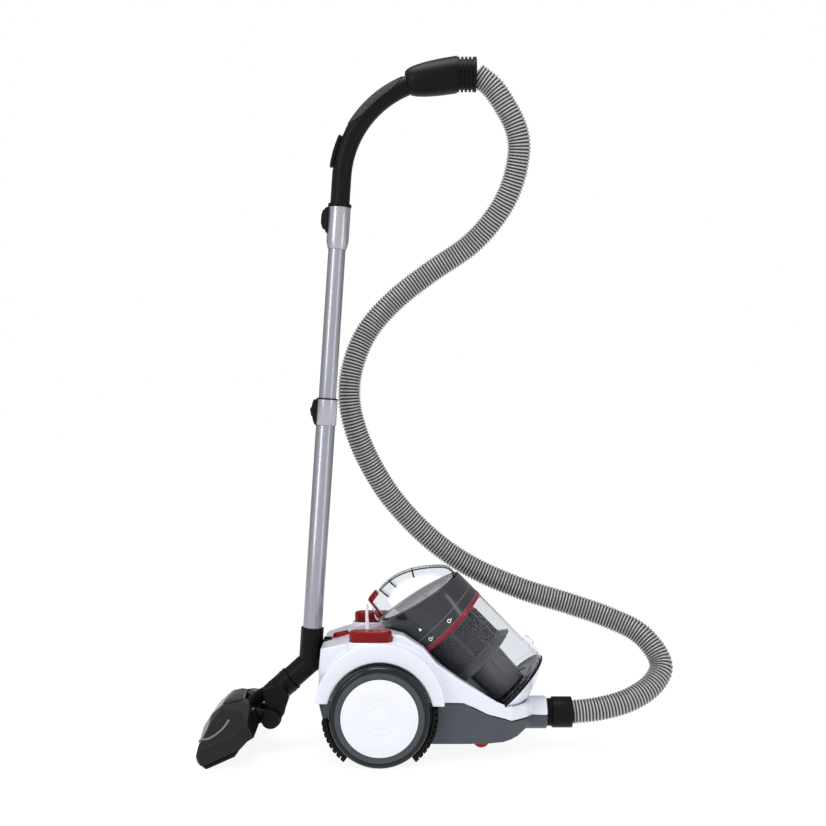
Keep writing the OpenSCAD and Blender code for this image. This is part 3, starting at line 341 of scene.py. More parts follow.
def transport(points):  # one turning frame for each point, with the least twist
    steps = []
    heading = (points[1] - points[0]).normalized()
    turn = heading.to_track_quat("Z", "Y")
    for i, spot in enumerate(points):
        ahead = points[min(i + 1, len(points) - 1)] - points[max(i - 1, 0)]
        turn = heading.rotation_difference(ahead.normalized()) @ turn
        heading = ahead.normalized()
        steps.append(Matrix.Translation(spot) @ turn.to_matrix().to_4x4())
    return steps


# A tube along a path: one ring of edges, extruded and carried from each point to the next
def tubeAlong(bm, points, radii, sides=28, caps=True, layer=None, marks=None):
    turns = transport(points)
    ring = bmesh.ops.create_circle(bm, segments=sides, radius=radii[0], matrix=turns[0])["verts"]
    edges = list({e for v in ring for e in v.link_edges})
    rings = [ring]
    ends = [edges]
    for i in range(1, len(points)):
        grown = bmesh.ops.extrude_edge_only(bm, edges=edges)["geom"]
        ring = [g for g in grown if isinstance(g, bmesh.types.BMVert)]
        kept = set(ring)
        edges = [g for g in grown if isinstance(g, bmesh.types.BMEdge) and set(g.verts) <= kept]
        size = Matrix.Scale(radii[i] / radii[i - 1], 4)
        moved(bm, turns[i] @ size @ turns[i - 1].inverted(), ring)
        rings.append(ring)
    ends.append(edges)
    if caps:
        for rim in ends:
            bmesh.ops.contextual_create(bm, geom=rim)
    if layer is not None:
        for ring, mark in zip(rings, marks):
            for vert in ring:
                vert[layer] = mark
    return rings


def cadMesh(name):  # the CAD node's mesh, welded, with its flat faces whole again
    bm = bmesh.new()
    bm.from_mesh(frame["nodes"][name].data)
    bmesh.ops.remove_doubles(bm, verts=bm.verts, dist=2e-6)
    flat = {"angle_limit": math.radians(0.4), "use_dissolve_boundaries": False}
    bmesh.ops.dissolve_limit(bm, verts=bm.verts, edges=bm.edges, **flat)
    return bm


def finished(name, bm, body, material, replaced=(), smooth=35, recalc=True):
    if recalc:
        bmesh.ops.recalc_face_normals(bm, faces=bm.faces)
    mesh = bpy.data.meshes.new(name)
    bm.to_mesh(mesh)
    bm.free()
    mesh.polygons.foreach_set("use_smooth", [True] * len(mesh.polygons))
    mesh.set_sharp_from_angle(angle=math.radians(smooth))
    piece = bpy.data.objects.new(name, mesh)
    bpy.context.scene.collection.objects.link(piece)
    mesh.materials.append(materials[material])
    if body is not None:
        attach(piece, body)
    if replaced:
        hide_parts(*replaced)
    return piece


bodyOf = {name: body for body, names in frame["record"]["behaviour"]["bodies"].items() for name in names}


# A CAD part with its edges rounded, standing for its own node
def rounded(name, material, width=0.6, segments=2, smooth=32, degrees=28):
    bm = cadMesh(name)
    soften(bm, width / 1000, segments, degrees)
    piece = finished(name + "_moulding", bm, bodyOf[name], material, [name], smooth, False)
    return piece


# A CAD shell worked over as a moulding: remeshed, smoothed and thinned, so that its edges flow
def moulded(name, material, voxel, passes, keep, smooth=60):
    piece = finished(name + "_moulding", cadMesh(name), None, material, [name], smooth, False)
    remesh = piece.modifiers.new("remesh", "REMESH")
    remesh.mode = "VOXEL"
    remesh.voxel_size = voxel / 1000
    relax = piece.modifiers.new("relax", "SMOOTH")
    relax.iterations = passes
    thin = piece.modifiers.new("thin", "DECIMATE")
    thin.ratio = keep
    shape = piece.evaluated_get(bpy.context.evaluated_depsgraph_get())
    mesh = bpy.data.meshes.new_from_object(shape)
    mesh.polygons.foreach_set("use_smooth", [True] * len(mesh.polygons))
    mesh.set_sharp_from_angle(angle=math.radians(smooth))
    piece.modifiers.clear()
    piece.data = mesh
    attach(piece, bodyOf[name])
    return piece


# ---- hose: the ribbed runs come first ----
hose = {"pitch": 5.6, "radius": 21.0, "groove": 18.2, "sides": 30}
hoseRoute = [
    (332, 0, 61), (383, 3, 66), (436, 12, 79), (481, 30, 103), (500, 52, 136), (470, 78, 181),
    (415, 98, 208), (343, 110, 232), (252, 115, 260), (160, 116, 301), (86, 113, 353),
    (22, 104, 420), (-19, 88, 484), (-47, 72, 548), (-60, 64, 610), (-53, 64, 672),
    (-26, 70, 734), (22, 74, 789), (86, 72, 839), (157, 62, 887), (204, 46, 938),
    (231, 30, 990), (242, 16, 1047), (235, 8, 1087), (214, 3, 1126), (193, 1, 1155),
    (165.99, 0, 1176.45),
]
hoseSplit = 14
routePoints = [place(*spot) for spot in hoseRoute]


def onCurve(points, i, t):  # smooth curve through the points
    last = len(points) - 1
    a, b = points[max(i - 1, 0)], points[i]
    c, d = points[i + 1], points[min(i + 2, last)]
    bend = (2 * a - 5 * b + 4 * c - d) * t * t + (3 * b - a - 3 * c + d) * t ** 3
    return 0.5 * (2 * b + (c - a) * t + bend)


def evenly(points, step):  # points at equal distances along a line of points
    out = [points[0].copy()]
    total = sum((b - a).length for a, b in zip(points, points[1:]))
    count = max(1, round(total / step))
    gap = total / count
    left = gap
    for a, b in zip(points, points[1:]):
        length = (b - a).length
        done = 0.0
        while length - done >= left - 1e-9 and len(out) < count:
            done += left
            out.append(a.lerp(b, done / length))
            left = gap
        left -= length - done
    out.append(points[-1].copy())
    return out, total


def hoseRun(name, first, last, rings=5):
    fine = [onCurve(routePoints, i, k / 24) for i in range(first, last) for k in range(24)]
    fine.append(routePoints[last])
    pitch = hose["pitch"] / 1000
    centres, total = evenly(fine, pitch / rings)
    groove, crest = hose["groove"] / 1000, hose["radius"] / 1000
    profile = [groove, groove, (groove + 2 * crest) / 3, crest, (groove + 2 * crest) / 3]
    marks = [0.0, 0.0, 0.45, 1.0, 0.45]
    bm = bmesh.new()
    layer = bm.verts.layers.float.new("crest")
    radii = [profile[i % rings] for i in range(len(centres))]
    levels = [marks[i % rings] for i in range(len(centres))]
    tubeAlong(bm, centres, radii, hose["sides"], True, layer, levels)
    piece = finished(name, bm, None, "hoseRib", [], 80)
    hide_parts(name.replace("ribbed_", ""))
    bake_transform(piece)
    centres[::rings] + [centres[-1]]
    return piece


hoseRun("ribbed_hose_lower_run", 0, hoseSplit)
hoseRun("ribbed_hose_upper_run", hoseSplit, len(hoseRoute) - 1)
print("stage: hose")

# ---- body shells ----
moulded("upper_housing", "shellWhite", 1.9, 6, 0.5)
moulded("lower_housing", "shellSlate", 1.9, 5, 0.4)
rounded("wheel_grilles", "grilleBlack", 0.4)
rounded("latch_hook", "discWhite", 1.0, 3)
rounded("parking_slot", "satinBlack", 0.5)
rounded("cord_outlet", "satinBlack", 0.6)
print("stage: shells")


def arc(cx, cz, r, start, end, steps):  # points of an arc in a flat outline
    angles = [math.radians(start + (end - start) * k / steps) for k in range(steps + 1)]
    return [(cx + r * math.cos(a), cz + r * math.sin(a)) for a in angles]


# An outline of (x, y) millimetres, raised from one height to another; gives back its top face
def prism(bm, points, low, high):
    verts = [bm.verts.new((x / 1000, y / 1000, low / 1000)) for x, y in points]
    face = bm.faces.new(verts)
    grown = bmesh.ops.extrude_face_region(bm, geom=[face])["geom"]
    far = [g for g in grown if isinstance(g, bmesh.types.BMVert)]
    bmesh.ops.translate(bm, vec=(0, 0, (high - low) / 1000), verts=far)
    return [g for g in grown if isinstance(g, bmesh.types.BMFace)][0]


def terraced(bm, top, steps):  # sets a face in and lifts it, step by step, in millimetres
    for inward, up in steps:
        bmesh.ops.inset_region(bm, faces=[top], thickness=inward / 1000)
        bmesh.ops.translate(bm, vec=(0, 0, up / 1000), verts=top.verts)


indicator = {"x": -70, "z": 195, "tilt": -12, "bow": 16.9, "low": -3, "side": 3.0}
bm = bmesh.new()
bow = indicator["bow"]
points = arc(0, 8, bow, 208.2, 331.8, 14)[:-1] + arc(0, -8, bow, 28.2, 151.8, 14)[:-1]
top = prism(bm, points, indicator["low"], indicator["side"])
terraced(bm, top, [(0.5, 1.1), (1.2, 1.2), (1.8, 0.9), (2.0, 0.5)])
moved(bm, turned(place(indicator["x"], 0, indicator["z"]), indicator["tilt"]))
finished("indicator_lens", bm, "root", "pedalGloss", ["dust_indicator"], 30)

# ---- wheels ----
wheel = {"radius": 84, "bore": 62, "inner": 98, "width": 34, "shoulder": 9, "face": 75}


def wheelSet(side, sign):
    axis = Matrix.Translation((axleX, sign * wheel["inner"] / 1000, axleZ))
    axis = axis @ Matrix.Rotation(math.radians(-90 * sign), 4, "X")
    r, w, s, b, f = (wheel[key] for key in ("radius", "width", "shoulder", "bore", "face"))
    rib = [(r - 0.2, w / 2 - 6), (r - 1.2, w / 2 - 5.4), (r - 1.2, w / 2 - 4), (r, w / 2 - 3.4)]
    rib += [(r, w / 2 + 3.4), (r - 1.2, w / 2 + 4), (r - 1.2, w / 2 + 5.4), (r - 0.2, w / 2 + 6)]
    tread = [(f, 0)] + arc(r - s / 2, s / 2, s / 2, -90, 0, 5) + rib
    tread += arc(r - s, w - s, s, 0, 90, 10) + [(f - 0.7, w - 0.9), (f - 0.7, w - 6), (f, w - 6)]
    bm = bmesh.new()
    spun(bm, tread, 128, True, axis)
    # the tread and shoulder carry the painted shade and reflection of the fender
    finished(side + "_tyre_tread", bm, side + "_wheel", "tyreShoulderPaintedShade",
             [side + "_tyre"], 40)
    bm = bmesh.new()
    face = [(b, 0), (f - 0.2, 0), (f - 0.2, w - 1.1), (f - 1.2, w - 0.5), (b + 3, w - 0.8), (b, w - 1.6)]
    spun(bm, face, 128, True, axis)
    finished(side + "_tyre_face", bm, side + "_wheel", "tyreSlate", [], 40)
    bm = bmesh.new()
    cap = [(4.05, 1), (12, 1), (12, w - 5), (b - 6, w - 7), (b - 6, 2), (b, 2), (b, w - 0.4)]
    cap += [(b + 1.6, w - 0.2), (b + 1.8, w + 0.9), (b + 0.4, w + 1.6), (b - 1.2, w + 1.2)]
    cap += [(b - 2.6, w + 1.9), (b - 20, w + 2.5), (30, w + 2.8), (28.6, w + 2.35), (27.2, w + 2.85)]
    cap += [(21, w + 2.9), (19.6, w + 2.45), (18.2, w + 2.95), (0, w + 3), (0, w - 5), (4.05, w - 5)]
    spun(bm, cap, 128, True, axis)
    finished(side + "_wheel_cap", bm, side + "_wheel", "discWhite",
             [side + "_wheel_disc"], 50)


wheelSet("left", 1)
wheelSet("right", -1)
rounded("caster_fork", "casterRed", 0.5)
rounded("caster_roller", "casterRed", 1.2, 3)
print("stage: wheels")

# ---- pedals ----
pedal = {"x": -16, "y": 93, "top": 221, "low": 197, "length": 71, "width": 30, "round": 3.8}


def pedalCap(name, sign):
    half, r = (pedal["length"] - pedal["width"]) / 2, pedal["width"] / 2
    bm = bmesh.new()
    prism(bm, arc(half, 0, r, -90, 90, 18) + arc(-half, 0, r, 90, 270, 18), pedal["low"], pedal["top"])
    soften(bm, pedal["round"] / 1000, 5)
    top = max(bm.faces, key=lambda f: f.calc_center_median().z)
    terraced(bm, top, [(1.6, 0), (1.0, -0.9)])
    moved(bm, Matrix.Translation(place(pedal["x"], sign * pedal["y"], 0)))
    finished(name + "_cap", bm, name, "pedalGloss", [name], 40)


pedalCap("rewind_pedal", 1)
pedalCap("power_pedal", -1)

# ---- dust bin ----
binShape = {"radius": 78, "wall": 2.5, "length": 157, "dome": 31, "shroud": 55, "head": 68}


def inBin(bm, outline, steps=96, closed=True):
    return spun(bm, outline, steps, closed, frames["bin"])


bm = bmesh.new()
r, t, low = binShape["radius"], binShape["wall"], -binShape["length"] + 0.2
cupWall = [(r - t, low), (r - 0.6, low), (r, low + 0.8), (r, low + 9), (r + 0.5, low + 9.4)]
cupWall += [(r + 0.5, low + 10.6), (r, low + 11), (r, -8), (r + 0.4, -7.4), (r + 0.4, -5.6), (r, -5)]
cupWall += [(r, -3.8), (r - 0.5, -3.2), (r - t, -3.2)]
inBin(bm, cupWall, 112)
finished("cup_shell", bm, "bin", "cupClear", ["bin_cup"], 35)
bm = bmesh.new()
latch = [(79, -128), (86.2, -128), (86.2, -124), (84.5, -112), (79, -112)]
slab(bm, latch, -9, 9, frames["bin"])
spur = [(79, -142), (81.8, -142), (82.6, -131), (86.2, -129.5), (79, -129.5)]
slab(bm, spur, -9, 9, frames["bin"])
soften(bm, 0.0008, 2)
finished("cup_latch", bm, "bin", "handleClear", [], 35)
rounded("bin_base", "shellWhite", 0.8, 3, 50)
bm = bmesh.new()
inBin(bm, [(r - 0.3, low - 1.4), (r + 0.35, low - 1.2), (r + 0.35, low + 0.9), (r - 0.3, low + 1.0)], 112)
finished("cup_seal", bm, "bin", "rubberBlack", [], 40)
bm = bmesh.new()
plate = [(0, low + 2.2), (44, low + 2.2), (45, low + 3.6), (52, low + 3.6), (53, low + 2.2)]
plate += [(r - 8, low + 2.2), (r - 6, low + 3.4), (r - t - 0.4, low + 3.4)]
plate += [(r - t - 0.4, low - 0.6), (0, low - 0.6)]
inBin(bm, plate, 96, False)
finished("cup_floor", bm, "bin", "floorInk", [], 35)
print("stage: cup")

# Mesh shroud: a lattice of small square holes, then a wall thickness
bm = bmesh.new()
shroud = {"rows": 17, "steps": 84, "low": -66.5, "high": -6.5, "bar": 0.00075}
rows, tall = shroud["rows"], shroud["high"] - shroud["low"]
heights = [shroud["low"] + tall * k / rows for k in range(rows + 1)]
inBin(bm, [(binShape["shroud"], z) for z in heights], shroud["steps"], False)
cells = list(bm.faces)
bmesh.ops.inset_individual(bm, faces=cells, thickness=shroud["bar"])
bmesh.ops.delete(bm, geom=cells, context="FACES")
bmesh.ops.recalc_face_normals(bm, faces=bm.faces)
bmesh.ops.solidify(bm, geom=bm.faces, thickness=0.0012)
rimHigh = [(55, -6.6), (55.4, -6.2), (55.4, -3.4), (53, -3.4), (53, -6.6)]
rimLow = [(55, -66.4), (55.6, -67), (55.6, -70), (53, -70), (53, -66.4)]
inBin(bm, rimHigh, 84)
inBin(bm, rimLow, 84)
for k in range(6):
    rib = [(53.6, -67), (55.6, -67), (55.6, -6), (53.6, -6)]
    slab(bm, rib, -1.8, 1.8, frames["bin"] @ Matrix.Rotation(math.radians(30 + 60 * k), 4, "Z"))
finished("shroud_lattice", bm, "bin_head", "shroudGrey", ["mesh_shroud"], 35)
bm = bmesh.new()
inBin(bm, [(50.5, -68), (51, -67.5), (51, -5), (50.5, -4.5), (49.5, -4.5), (49.5, -68)], 64)
finished("shroud_core", bm, "bin_head", "headHood", [], 35)

bm = bmesh.new()
cone = [(49, -70.2), (55.5, -70.2), (58, -72), (69, -81), (69, -82.2), (67, -83), (42, -85), (38, -88)]
cone += [(37, -92), (33.6, -149), (33, -151), (31.4, -151), (35, -90), (36, -84), (62, -80.6)]
inBin(bm, cone, 96)
for k in range(8):
    fin = [(36, -94), (38.6, -94), (34.9, -146), (33, -146)]
    slab(bm, fin, -0.7, 0.7, frames["bin"] @ Matrix.Rotation(math.radians(22.5 + 45 * k), 4, "Z"))
finished("separator_cone", bm, "bin_head", "coneGrey", ["cyclone_body"], 40)

# Head of the bin: the smoky housing, its band, ring, lid and marks
rounded("bin_housing", "housingSmoke", 1.2, 3, 40)
bm = bmesh.new()
r = binShape["radius"]
for z in (4.2, 21.4):
    line = [(r - 0.5, z - 0.45), (r + 0.25, z - 0.45), (r + 0.4, z), (r + 0.25, z + 0.45)]
    inBin(bm, line + [(r - 0.5, z + 0.45)], 112)
finished("band_lines", bm, "bin_head", "markGrey", [], 35)
bm = bmesh.new()
ring = [(r - 6.4, -3), (r + 0.1, -3), (r + 0.8, -2.4), (r + 0.8, 2.4), (r + 0.1, 3), (r - 6.4, 3)]
inBin(bm, ring, 128)
finished("ring_band", bm, "bin_head", "ringCrimson", ["red_ring"], 30)


def onWall(angle, height):  # a spot on the bin's wall, facing out along its X axis
    return (frames["bin"] @ Matrix.Rotation(math.radians(angle), 4, "Z")
            @ Matrix.Translation((r / 1000, 0, height / 1000)))


bm = bmesh.new()
arrow = [(-3.1, -2.6), (3.1, -2.6), (0, 3.4)]
for angle in (-113, 67):
    verts = [bm.verts.new((0.00012, a / 1000, b / 1000)) for a, b in arrow]
    face = bm.faces.new(verts)
    grown = bmesh.ops.extrude_face_region(bm, geom=[face])["geom"]
    far = [g for g in grown if isinstance(g, bmesh.types.BMVert)]
    bmesh.ops.translate(bm, vec=(-0.0005, 0, 0), verts=far)
    moved(bm, onWall(angle, 36), verts + far)
finished("turn_arrow", bm, "bin_head", "markWhite", [], 35)
bm = bmesh.new()
for angle in (-112, -79):
    spot = onWall(angle, 12) @ Matrix.Rotation(math.radians(90), 4, "Y")
    outline = [(2.2, -0.3), (3.4, -0.3), (3.4, 0.35), (2.2, 0.35)]
    spun(bm, outline, 20, True, spot)
    stud = [(0, -0.3), (1.0, -0.3), (1.0, 0.35), (0, 0.35)]
    spun(bm, stud, 16, False, spot @ Matrix.Translation((0, 0.0052, 0)))
finished("lock_marks", bm, "bin_head", "markWhite", [], 35)
bm = bmesh.new()
lid = [(0, 7.2), (14, 6.95), (28, 6.1), (42, 4.6), (56, 2.5), (64, 1.0), (66.5, 0.9), (67.5, 1.6)]
lid += [(69.4, 1.6), (70, 1.2), (70, 0), (67, 0), (67, -7), (0, -7)]
spun(bm, lid, 112, False, frames["lid"])
finished("lid_dome", bm, "bin_head", "lidSilver", ["bin_lid"], 30)
print("stage: bin head")

# ---- carrying handle: clear channel with ribs, the red button in its rear end ----
arch = {
    "half": 15, "cheek": 2.4, "web": 2.4, "rib": 3.0,
    "out": [(73, 51), (71, 72), (48, 95), (22, 113), (-6, 124), (-36, 127), (-54, 125), (-68, 117),
            (-79, 104), (-82, 93), (-80.5, 88.5)],
    "in": [(-50, 82.5), (-46, 91), (-43.5, 101), (-33, 107), (-10, 108.5), (15, 101), (44, 80), (60, 55.5)],
    "ribs": [((24, 112), (17, 100)), ((-18, 125.5), (-17, 108)), ((-40, 126.5), (-38, 105))],
}


def curved(flat, steps):  # the same smooth curve through (x, z) points
    points = [Vector(spot) for spot in flat]
    fine = [onCurve(points, i, k / steps) for i in range(len(points) - 1) for k in range(steps)]
    return [tuple(spot) for spot in fine + [points[-1]]]


def band(points, thick):  # closed outline, thick millimetres wide on the left of a flat curve
    spots = [Vector(spot) for spot in points]
    inner = []
    for i, spot in enumerate(spots):
        ahead = (spots[min(i + 1, len(spots) - 1)] - spots[max(i - 1, 0)]).normalized()
        inner.append(tuple(spot + thick * Vector((-ahead.y, ahead.x))))
    return points + inner[::-1]


outer, inner = curved(arch["out"], 5), curved(arch["in"], 5)
half, cheek = arch["half"], arch["cheek"]
bm = bmesh.new()
slab(bm, outer + inner, half - cheek, half, frames["bin"])
slab(bm, outer + inner, -half, cheek - half, frames["bin"])
front = [spot for spot in outer if spot[0] > -43]
rear = [spot for spot in outer if spot[0] < -60 and spot[1] < 111]
for run in (front, rear):
    slab(bm, band(run, arch["web"]), cheek - half, half - cheek, frames["bin"])
for pair in arch["ribs"]:
    slab(bm, band(list(pair), arch["rib"]), cheek - half, half - cheek, frames["bin"])
finished("handle_channel", bm, "bin_head", "handleClear", ["bin_handle"], 35)
rounded("release_button", "pedalGloss", 1.0, 3)
print("stage: bin handle")

# ---- wand ----
wand = {"joint": 403, "collar": 665, "flange": 739, "lower": 16.8, "bore": 15.3}
w, b, c, f, j = (wand[key] for key in ("lower", "bore", "collar", "flange", "joint"))
bm = bmesh.new()
spun(bm, [(w - 0.9, -27), (w, -27), (w, j - 0.4), (w - 0.3, j), (w - 0.9, j)], 96, True, frames["wand"])
finished("lower_tube_shine", bm, "wand", "tubeSilver", ["lower_tube"], 40)
rounded("upper_tube", "tubeSilver", 0.3, 2)


# Thumb latch on a tube: two bowed cheeks with a low core between them for the moving piece
def latchCase(name, outline, core, body):
    bm = bmesh.new()
    bow = curved(outline, 4)
    slab(bm, bow, 6.4, 8.7, frames["wand"])
    slab(bm, bow, -8.7, -6.4, frames["wand"])
    slab(bm, core, -6.4, 6.4, frames["wand"])
    soften(bm, 0.0006, 2, 50)
    finished(name, bm, body, "satinBlack", [], 40)


bm = bmesh.new()
sleeve = [(w + 0.1, j - 46), (w + 1.2, j - 46), (w + 1.5, j - 45.4), (w + 1.5, j - 1.6), (w + 0.1, j - 1.6)]
spun(bm, sleeve, 96, True, frames["wand"])
finished("slider_sleeve", bm, "wand", "collarSilver", ["slider_collar"], 40)
bm = bmesh.new()
ring = [(b + 0.3, j - 1.5), (w + 1.9, j - 1.5), (w + 2.1, j - 1.2), (w + 2.1, j + 0.7), (w + 1.8, j + 1)]
spun(bm, ring + [(b + 0.3, j + 1)], 96, True, frames["wand"])
finished("slider_ring", bm, "wand", "satinBlack", [], 40)
moon = [(-15, j - 48), (-19.5, j - 45), (-23.4, j - 35), (-25.4, j - 22), (-25.2, j - 10), (-22.6, j - 2.5)]
core = [(-15, j - 46), (-20, j - 43), (-20, j - 3), (-15, j - 2)]
latchCase("slider_case", moon + [(-15, j - 1.6)], core, "wand")
rounded("tube_slider", "satinBlack", 1.2, 3)
bm = bmesh.new()
collar = [(b, c), (b + 0.9, c), (19.5, c + 14), (19.5, f - 1.8), (19.2, f - 1.2), (16.3, f - 1.2)]
spun(bm, collar + [(16.3, c + 31), (b, c + 31)], 96, True, frames["wand"])
finished("collar_cone", bm, "upper_wand", "collarSilver", ["tube_collar"], 40)
moon = [(-17, f - 48), (-21.5, f - 45), (-25.6, f - 37), (-27.4, f - 24), (-26.8, f - 10), (-23.8, f - 3)]
core = [(-17, f - 46), (-20.6, f - 43), (-20.6, f - 3), (-17, f - 2)]
latchCase("release_case", moon + [(-17, f - 1.2)], core, "upper_wand")
rounded("tube_release", "satinBlack", 1.4, 3)
moulded("neck", "satinBlack", 1.1, 5, 0.6)
print("stage: wand")

# ---- handle ----
grip = {"centre": place(114.79, 0, 985.91), "bend": 185, "from": 113, "to": 149, "skin": 18.2, "wrap": 80}
rounded("handle_tube", "satinBlack", 0.8, 2, 40)
bm = bmesh.new()
bmesh.ops.create_grid(bm, x_segments=44, y_segments=16, size=1)
for vert in bm.verts:
    along, across = vert.co.x, vert.co.y
    angle = math.radians(grip["from"] + (grip["to"] - grip["from"]) * (along + 1) / 2)
    turn = across * math.radians(grip["wrap"]) * max(0.2, (1 - along ** 4) ** 0.5)
    reach = grip["bend"] + grip["skin"] * math.cos(turn)
    off = (reach * math.cos(angle), grip["skin"] * math.sin(turn), reach * math.sin(angle))
    vert.co = grip["centre"] + Vector(off) / 1000
bmesh.ops.solidify(bm, geom=bm.faces[:], thickness=0.0016)
finished("grip_panel", bm, "upper_wand", "padGrain", ["grip_pad"], 40)
rounded("air_valve", "satinBlack", 1.2, 3, 40)
bm = bmesh.new()
skin = [(16.6, -2.5), (18.6, -1.9), (20.8, 0.2), (22.8, 3.2), (24.6, 7.5), (26.2, 13), (27.8, 21)]
skin += [(29.2, 31), (30.4, 44), (31.2, 58), (31.5, 72), (31.5, 112)]
spun(bm, skin + [(29.5, 112), (29.5, 60), (26, 24), (19, 6), (16.6, 1)], 96, True, frames["barrel"])
cut = {"plane_co": frames["cuff"].to_translation(), "plane_no": (1, 0, 0), "clear_outer": True}
bmesh.ops.bisect_plane(bm, geom=bm.verts[:] + bm.edges[:] + bm.faces[:], **cut)
bmesh.ops.bridge_loops(bm, edges=[e for e in bm.edges if e.is_boundary])
finished("barrel_skin", bm, "upper_wand", "satinBlack", ["handle_barrel"], 40)
rounded("handle_cuff", "cuffBlack", 0.5, 2)
rounded("body_cuff", "cuffBlack", 0.7, 2)
print("stage: handle")

# ---- floor head and neck ----
moulded("neck_sleeve", "satinBlack", 1.2, 4, 0.5)
bm = bmesh.new()
for z in (44, 51):
    ring = [(21.2, z), (21.9, z + 0.5), (22.3, z + 1.2), (22.3, z + 2.4), (21.9, z + 3.1), (21.2, z + 3.6)]
    spun(bm, ring, 72, True, frames["neck"])
finished("lock_ring", bm, "neck_sleeve", "satinBlack", [], 40)
rounded("neck_rollers", "satinBlack", 1.0, 3)
headPiece = moulded("head_shell", "headCharcoal", 1.4, 5, 0.4)
crown = {"from": 0.044, "to": 0.130, "drop": 0.32, "base": -0.0085}
inHead = frames["head"].inverted()
for vert in headPiece.data.vertices:  # the crown falls away towards both ends
    spot = inHead @ vert.co
    share = (abs(spot.y) - crown["from"]) / (crown["to"] - crown["from"])
    rise = max(0, spot.z - crown["base"])
    spot.z -= rise * crown["drop"] * min(1, max(0, share))
    vert.co = frames["head"] @ spot
rounded("foot_pedal", "headHood", 0.9, 3)
rounded("sole_plate", "satinBlack", 0.8, 2)
bristles = frame["nodes"]["brush_strips"].data.materials
bristles.clear()
bristles.append(materials["bristleGrey"])

# Bright grey strip laid on the crown at each end, dropped onto the shell under it; its light grey is a
# painted highlight along the head's top
bm = bmesh.new()
bm.from_mesh(headPiece.data)
surface = BVHTree.FromBMesh(bm)
bm.free()
down = frames["head"].to_3x3() @ Vector((0, 0, -1))
highlightStrip = {"route": [(-110, 96), (-102, 108), (-90, 114), (-76, 112), (-62, 104), (-52, 92)], "radius": 2.1}
bm = bmesh.new()
for side in (-1, 1):
    line = []
    for x, y in curved(highlightStrip["route"], 6):
        above = frames["head"] @ Vector((x / 1000, side * y / 1000, 0.12))
        line.append(surface.ray_cast(above, down)[0])
    tubeAlong(bm, line, [highlightStrip["radius"] / 1000] * len(line), 12)
# the strip's grey stands in for the curved highlight on the head's top: painted highlight
finished("head_painted_highlight", bm, "floor_head", "markGrey", [], 50)

bellows = {"from": 112.5, "to": 149.5, "middle": 38.5, "folds": 10, "deep": 11.4, "wide": 16.8}
bm = bmesh.new()
count = bellows["folds"] * 4
hub = frames["pivot"]
out = Matrix.Translation((bellows["middle"] / 1000, 0, 0))
last = None
for k in range(count + 1):
    grow = [0.78, 0.90, 1.0, 0.90][k % 4]
    angle = bellows["from"] + (bellows["to"] - bellows["from"]) * k / count
    turn = hub @ Matrix.Rotation(math.radians(-angle), 4, "Y")
    size = Matrix.Diagonal((grow * bellows["deep"] / 1000, grow * bellows["wide"] / 1000, 1, 1))
    here = turn @ out @ size
    if last is None:
        ring = bmesh.ops.create_circle(bm, segments=32, radius=1.0, matrix=here)["verts"]
        edges = list({e for v in ring for e in v.link_edges})
    else:
        grown = bmesh.ops.extrude_edge_only(bm, edges=edges)["geom"]
        ring = [g for g in grown if isinstance(g, bmesh.types.BMVert)]
        kept = set(ring)
        edges = [g for g in grown if isinstance(g, bmesh.types.BMEdge) and set(g.verts) <= kept]
        moved(bm, here @ last.inverted(), ring)
    last = here
piece = finished("neck_pleats", bm, None, "rubberBlack", ["neck_bellows"], 40)
for key in ("from", "to"):
    turn = hub @ Matrix.Rotation(math.radians(-bellows[key]), 4, "Y")
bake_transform(piece)
print("stage: floor head")

# ---- parts inside, and small CAD parts that keep their shape ----
inner = {
    "inlet_duct": "satinBlack", "steel_axles": "steelBright", "motor_housing": "canGrey",
    "motor_core": "coreSteel", "motor_mount": "rubberBlack", "impeller": "canGrey",
    "hepa_filter": "filterPaper", "cord_reel": "grilleBlack", "circuit_board": "boardGreen",
    "housing_screws": "steelBright", "outlet_gasket": "rubberBlack", "power_spring": "steelBright",
    "rewind_spring": "steelBright", "pre_filter": "foamCream",
}
for name, material in inner.items():
    kept = frame["nodes"][name]
    kept.data.materials.clear()
    kept.data.materials.append(materials[material])


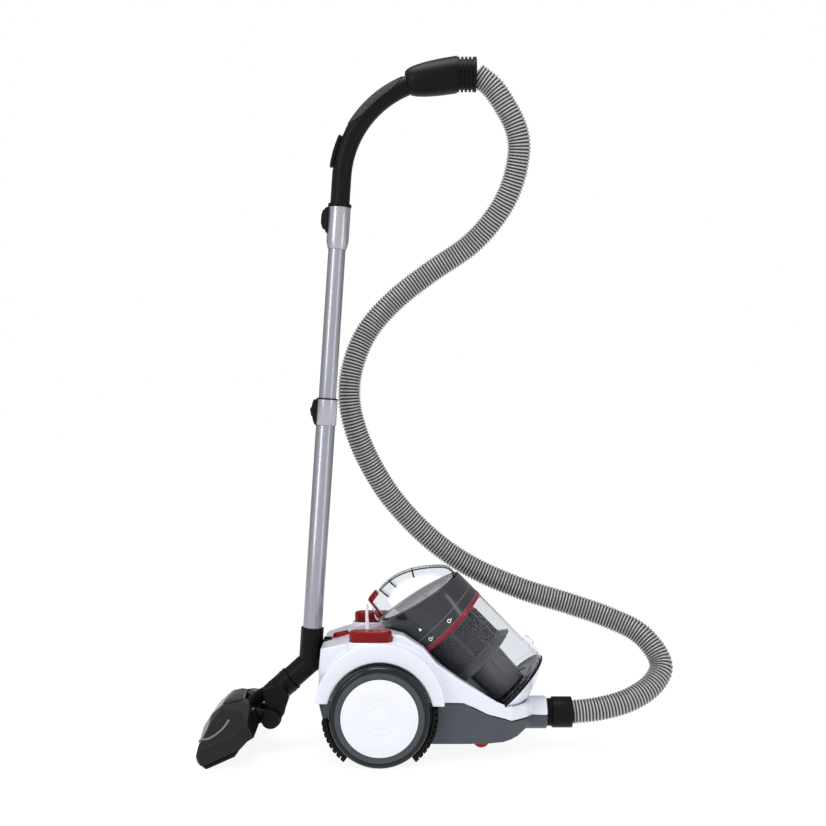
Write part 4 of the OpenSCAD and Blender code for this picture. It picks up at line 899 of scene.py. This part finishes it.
# ---- stage ----
def lamp(name, spot, aim, size, power):
    data = bpy.data.lights.new(name, "AREA")
    data.shape = "RECTANGLE"
    data.size, data.size_y = size
    data.energy = power
    made = bpy.data.objects.new(name, data)
    made.location = spot
    made.rotation_euler = (Vector(aim) - Vector(spot)).to_track_quat("-Z", "Y").to_euler()
    bpy.context.scene.collection.objects.link(made)


lamp("keyLight", (-1.5, -1.7, 1.5), (0, 0, 0.5), (0.35, 1.8), 13)
lamp("fillLight", (1.9, -1.4, 1.0), (0, 0, 0.5), (0.3, 1.8), 5)
lamp("topLight", (-0.2, -0.3, 2.8), (0, 0, 0.2), (1.4, 1.0), 30)

# White where it is looked at straight or through a clear part; for light, brighter from the front
world = bpy.data.worlds.new("studio")
world.use_nodes = True
tree = world.node_tree
tree.nodes.clear()
spot = node(tree, "ShaderNodeTexCoord", {}, {}, "Generated")
depth = node(tree, "ShaderNodeSeparateXYZ", {}, {"Vector": spot}, "Y")
height = Wire(tree, depth.socket.node.outputs["Z"])
ambient = depth * -0.34 + 0.60 + height * 0.10
seen = node(tree, "ShaderNodeLightPath", {}, {}, "Is Camera Ray")
through = Wire(tree, seen.socket.node.outputs["Is Transmission Ray"])
straight = seen.maths("MAXIMUM", seen, through)
strength = straight * (1.0 - ambient) + ambient
sky = node(tree, "ShaderNodeBackground", {}, {"Color": (1, 1, 1, 1), "Strength": strength})
node(tree, "ShaderNodeOutputWorld", {}, {"Surface": sky})
bpy.context.scene.world = world
bpy.context.scene.view_settings.view_transform = "Standard"

bm = bmesh.new()
bmesh.ops.create_grid(bm, x_segments=2, y_segments=2, size=9, matrix=Matrix.Translation((0, 4, 0)))
floorMesh = bpy.data.meshes.new("studioFloor")
bm.to_mesh(floorMesh)
bm.free()
floorObject = bpy.data.objects.new("studioFloor", floorMesh)
bpy.context.scene.collection.objects.link(floorObject)
material, tree = newMaterial("paleFloor")
spot = node(tree, "ShaderNodeTexCoord", {}, {}, "Object")
pale = blended(tree, noise(tree, spot, 3.0), (0.14, 0.14, 0.14, 1), (0.18, 0.18, 0.18, 1))
glow = {"Emission Color": (1, 1, 1, 1), "Emission Strength": 0.9}
shaded(tree, {"Base Color": pale, "Roughness": 0.9, "Specular IOR Level": 0.0, **glow})
floorMesh.materials.append(material)

print("stage: done")
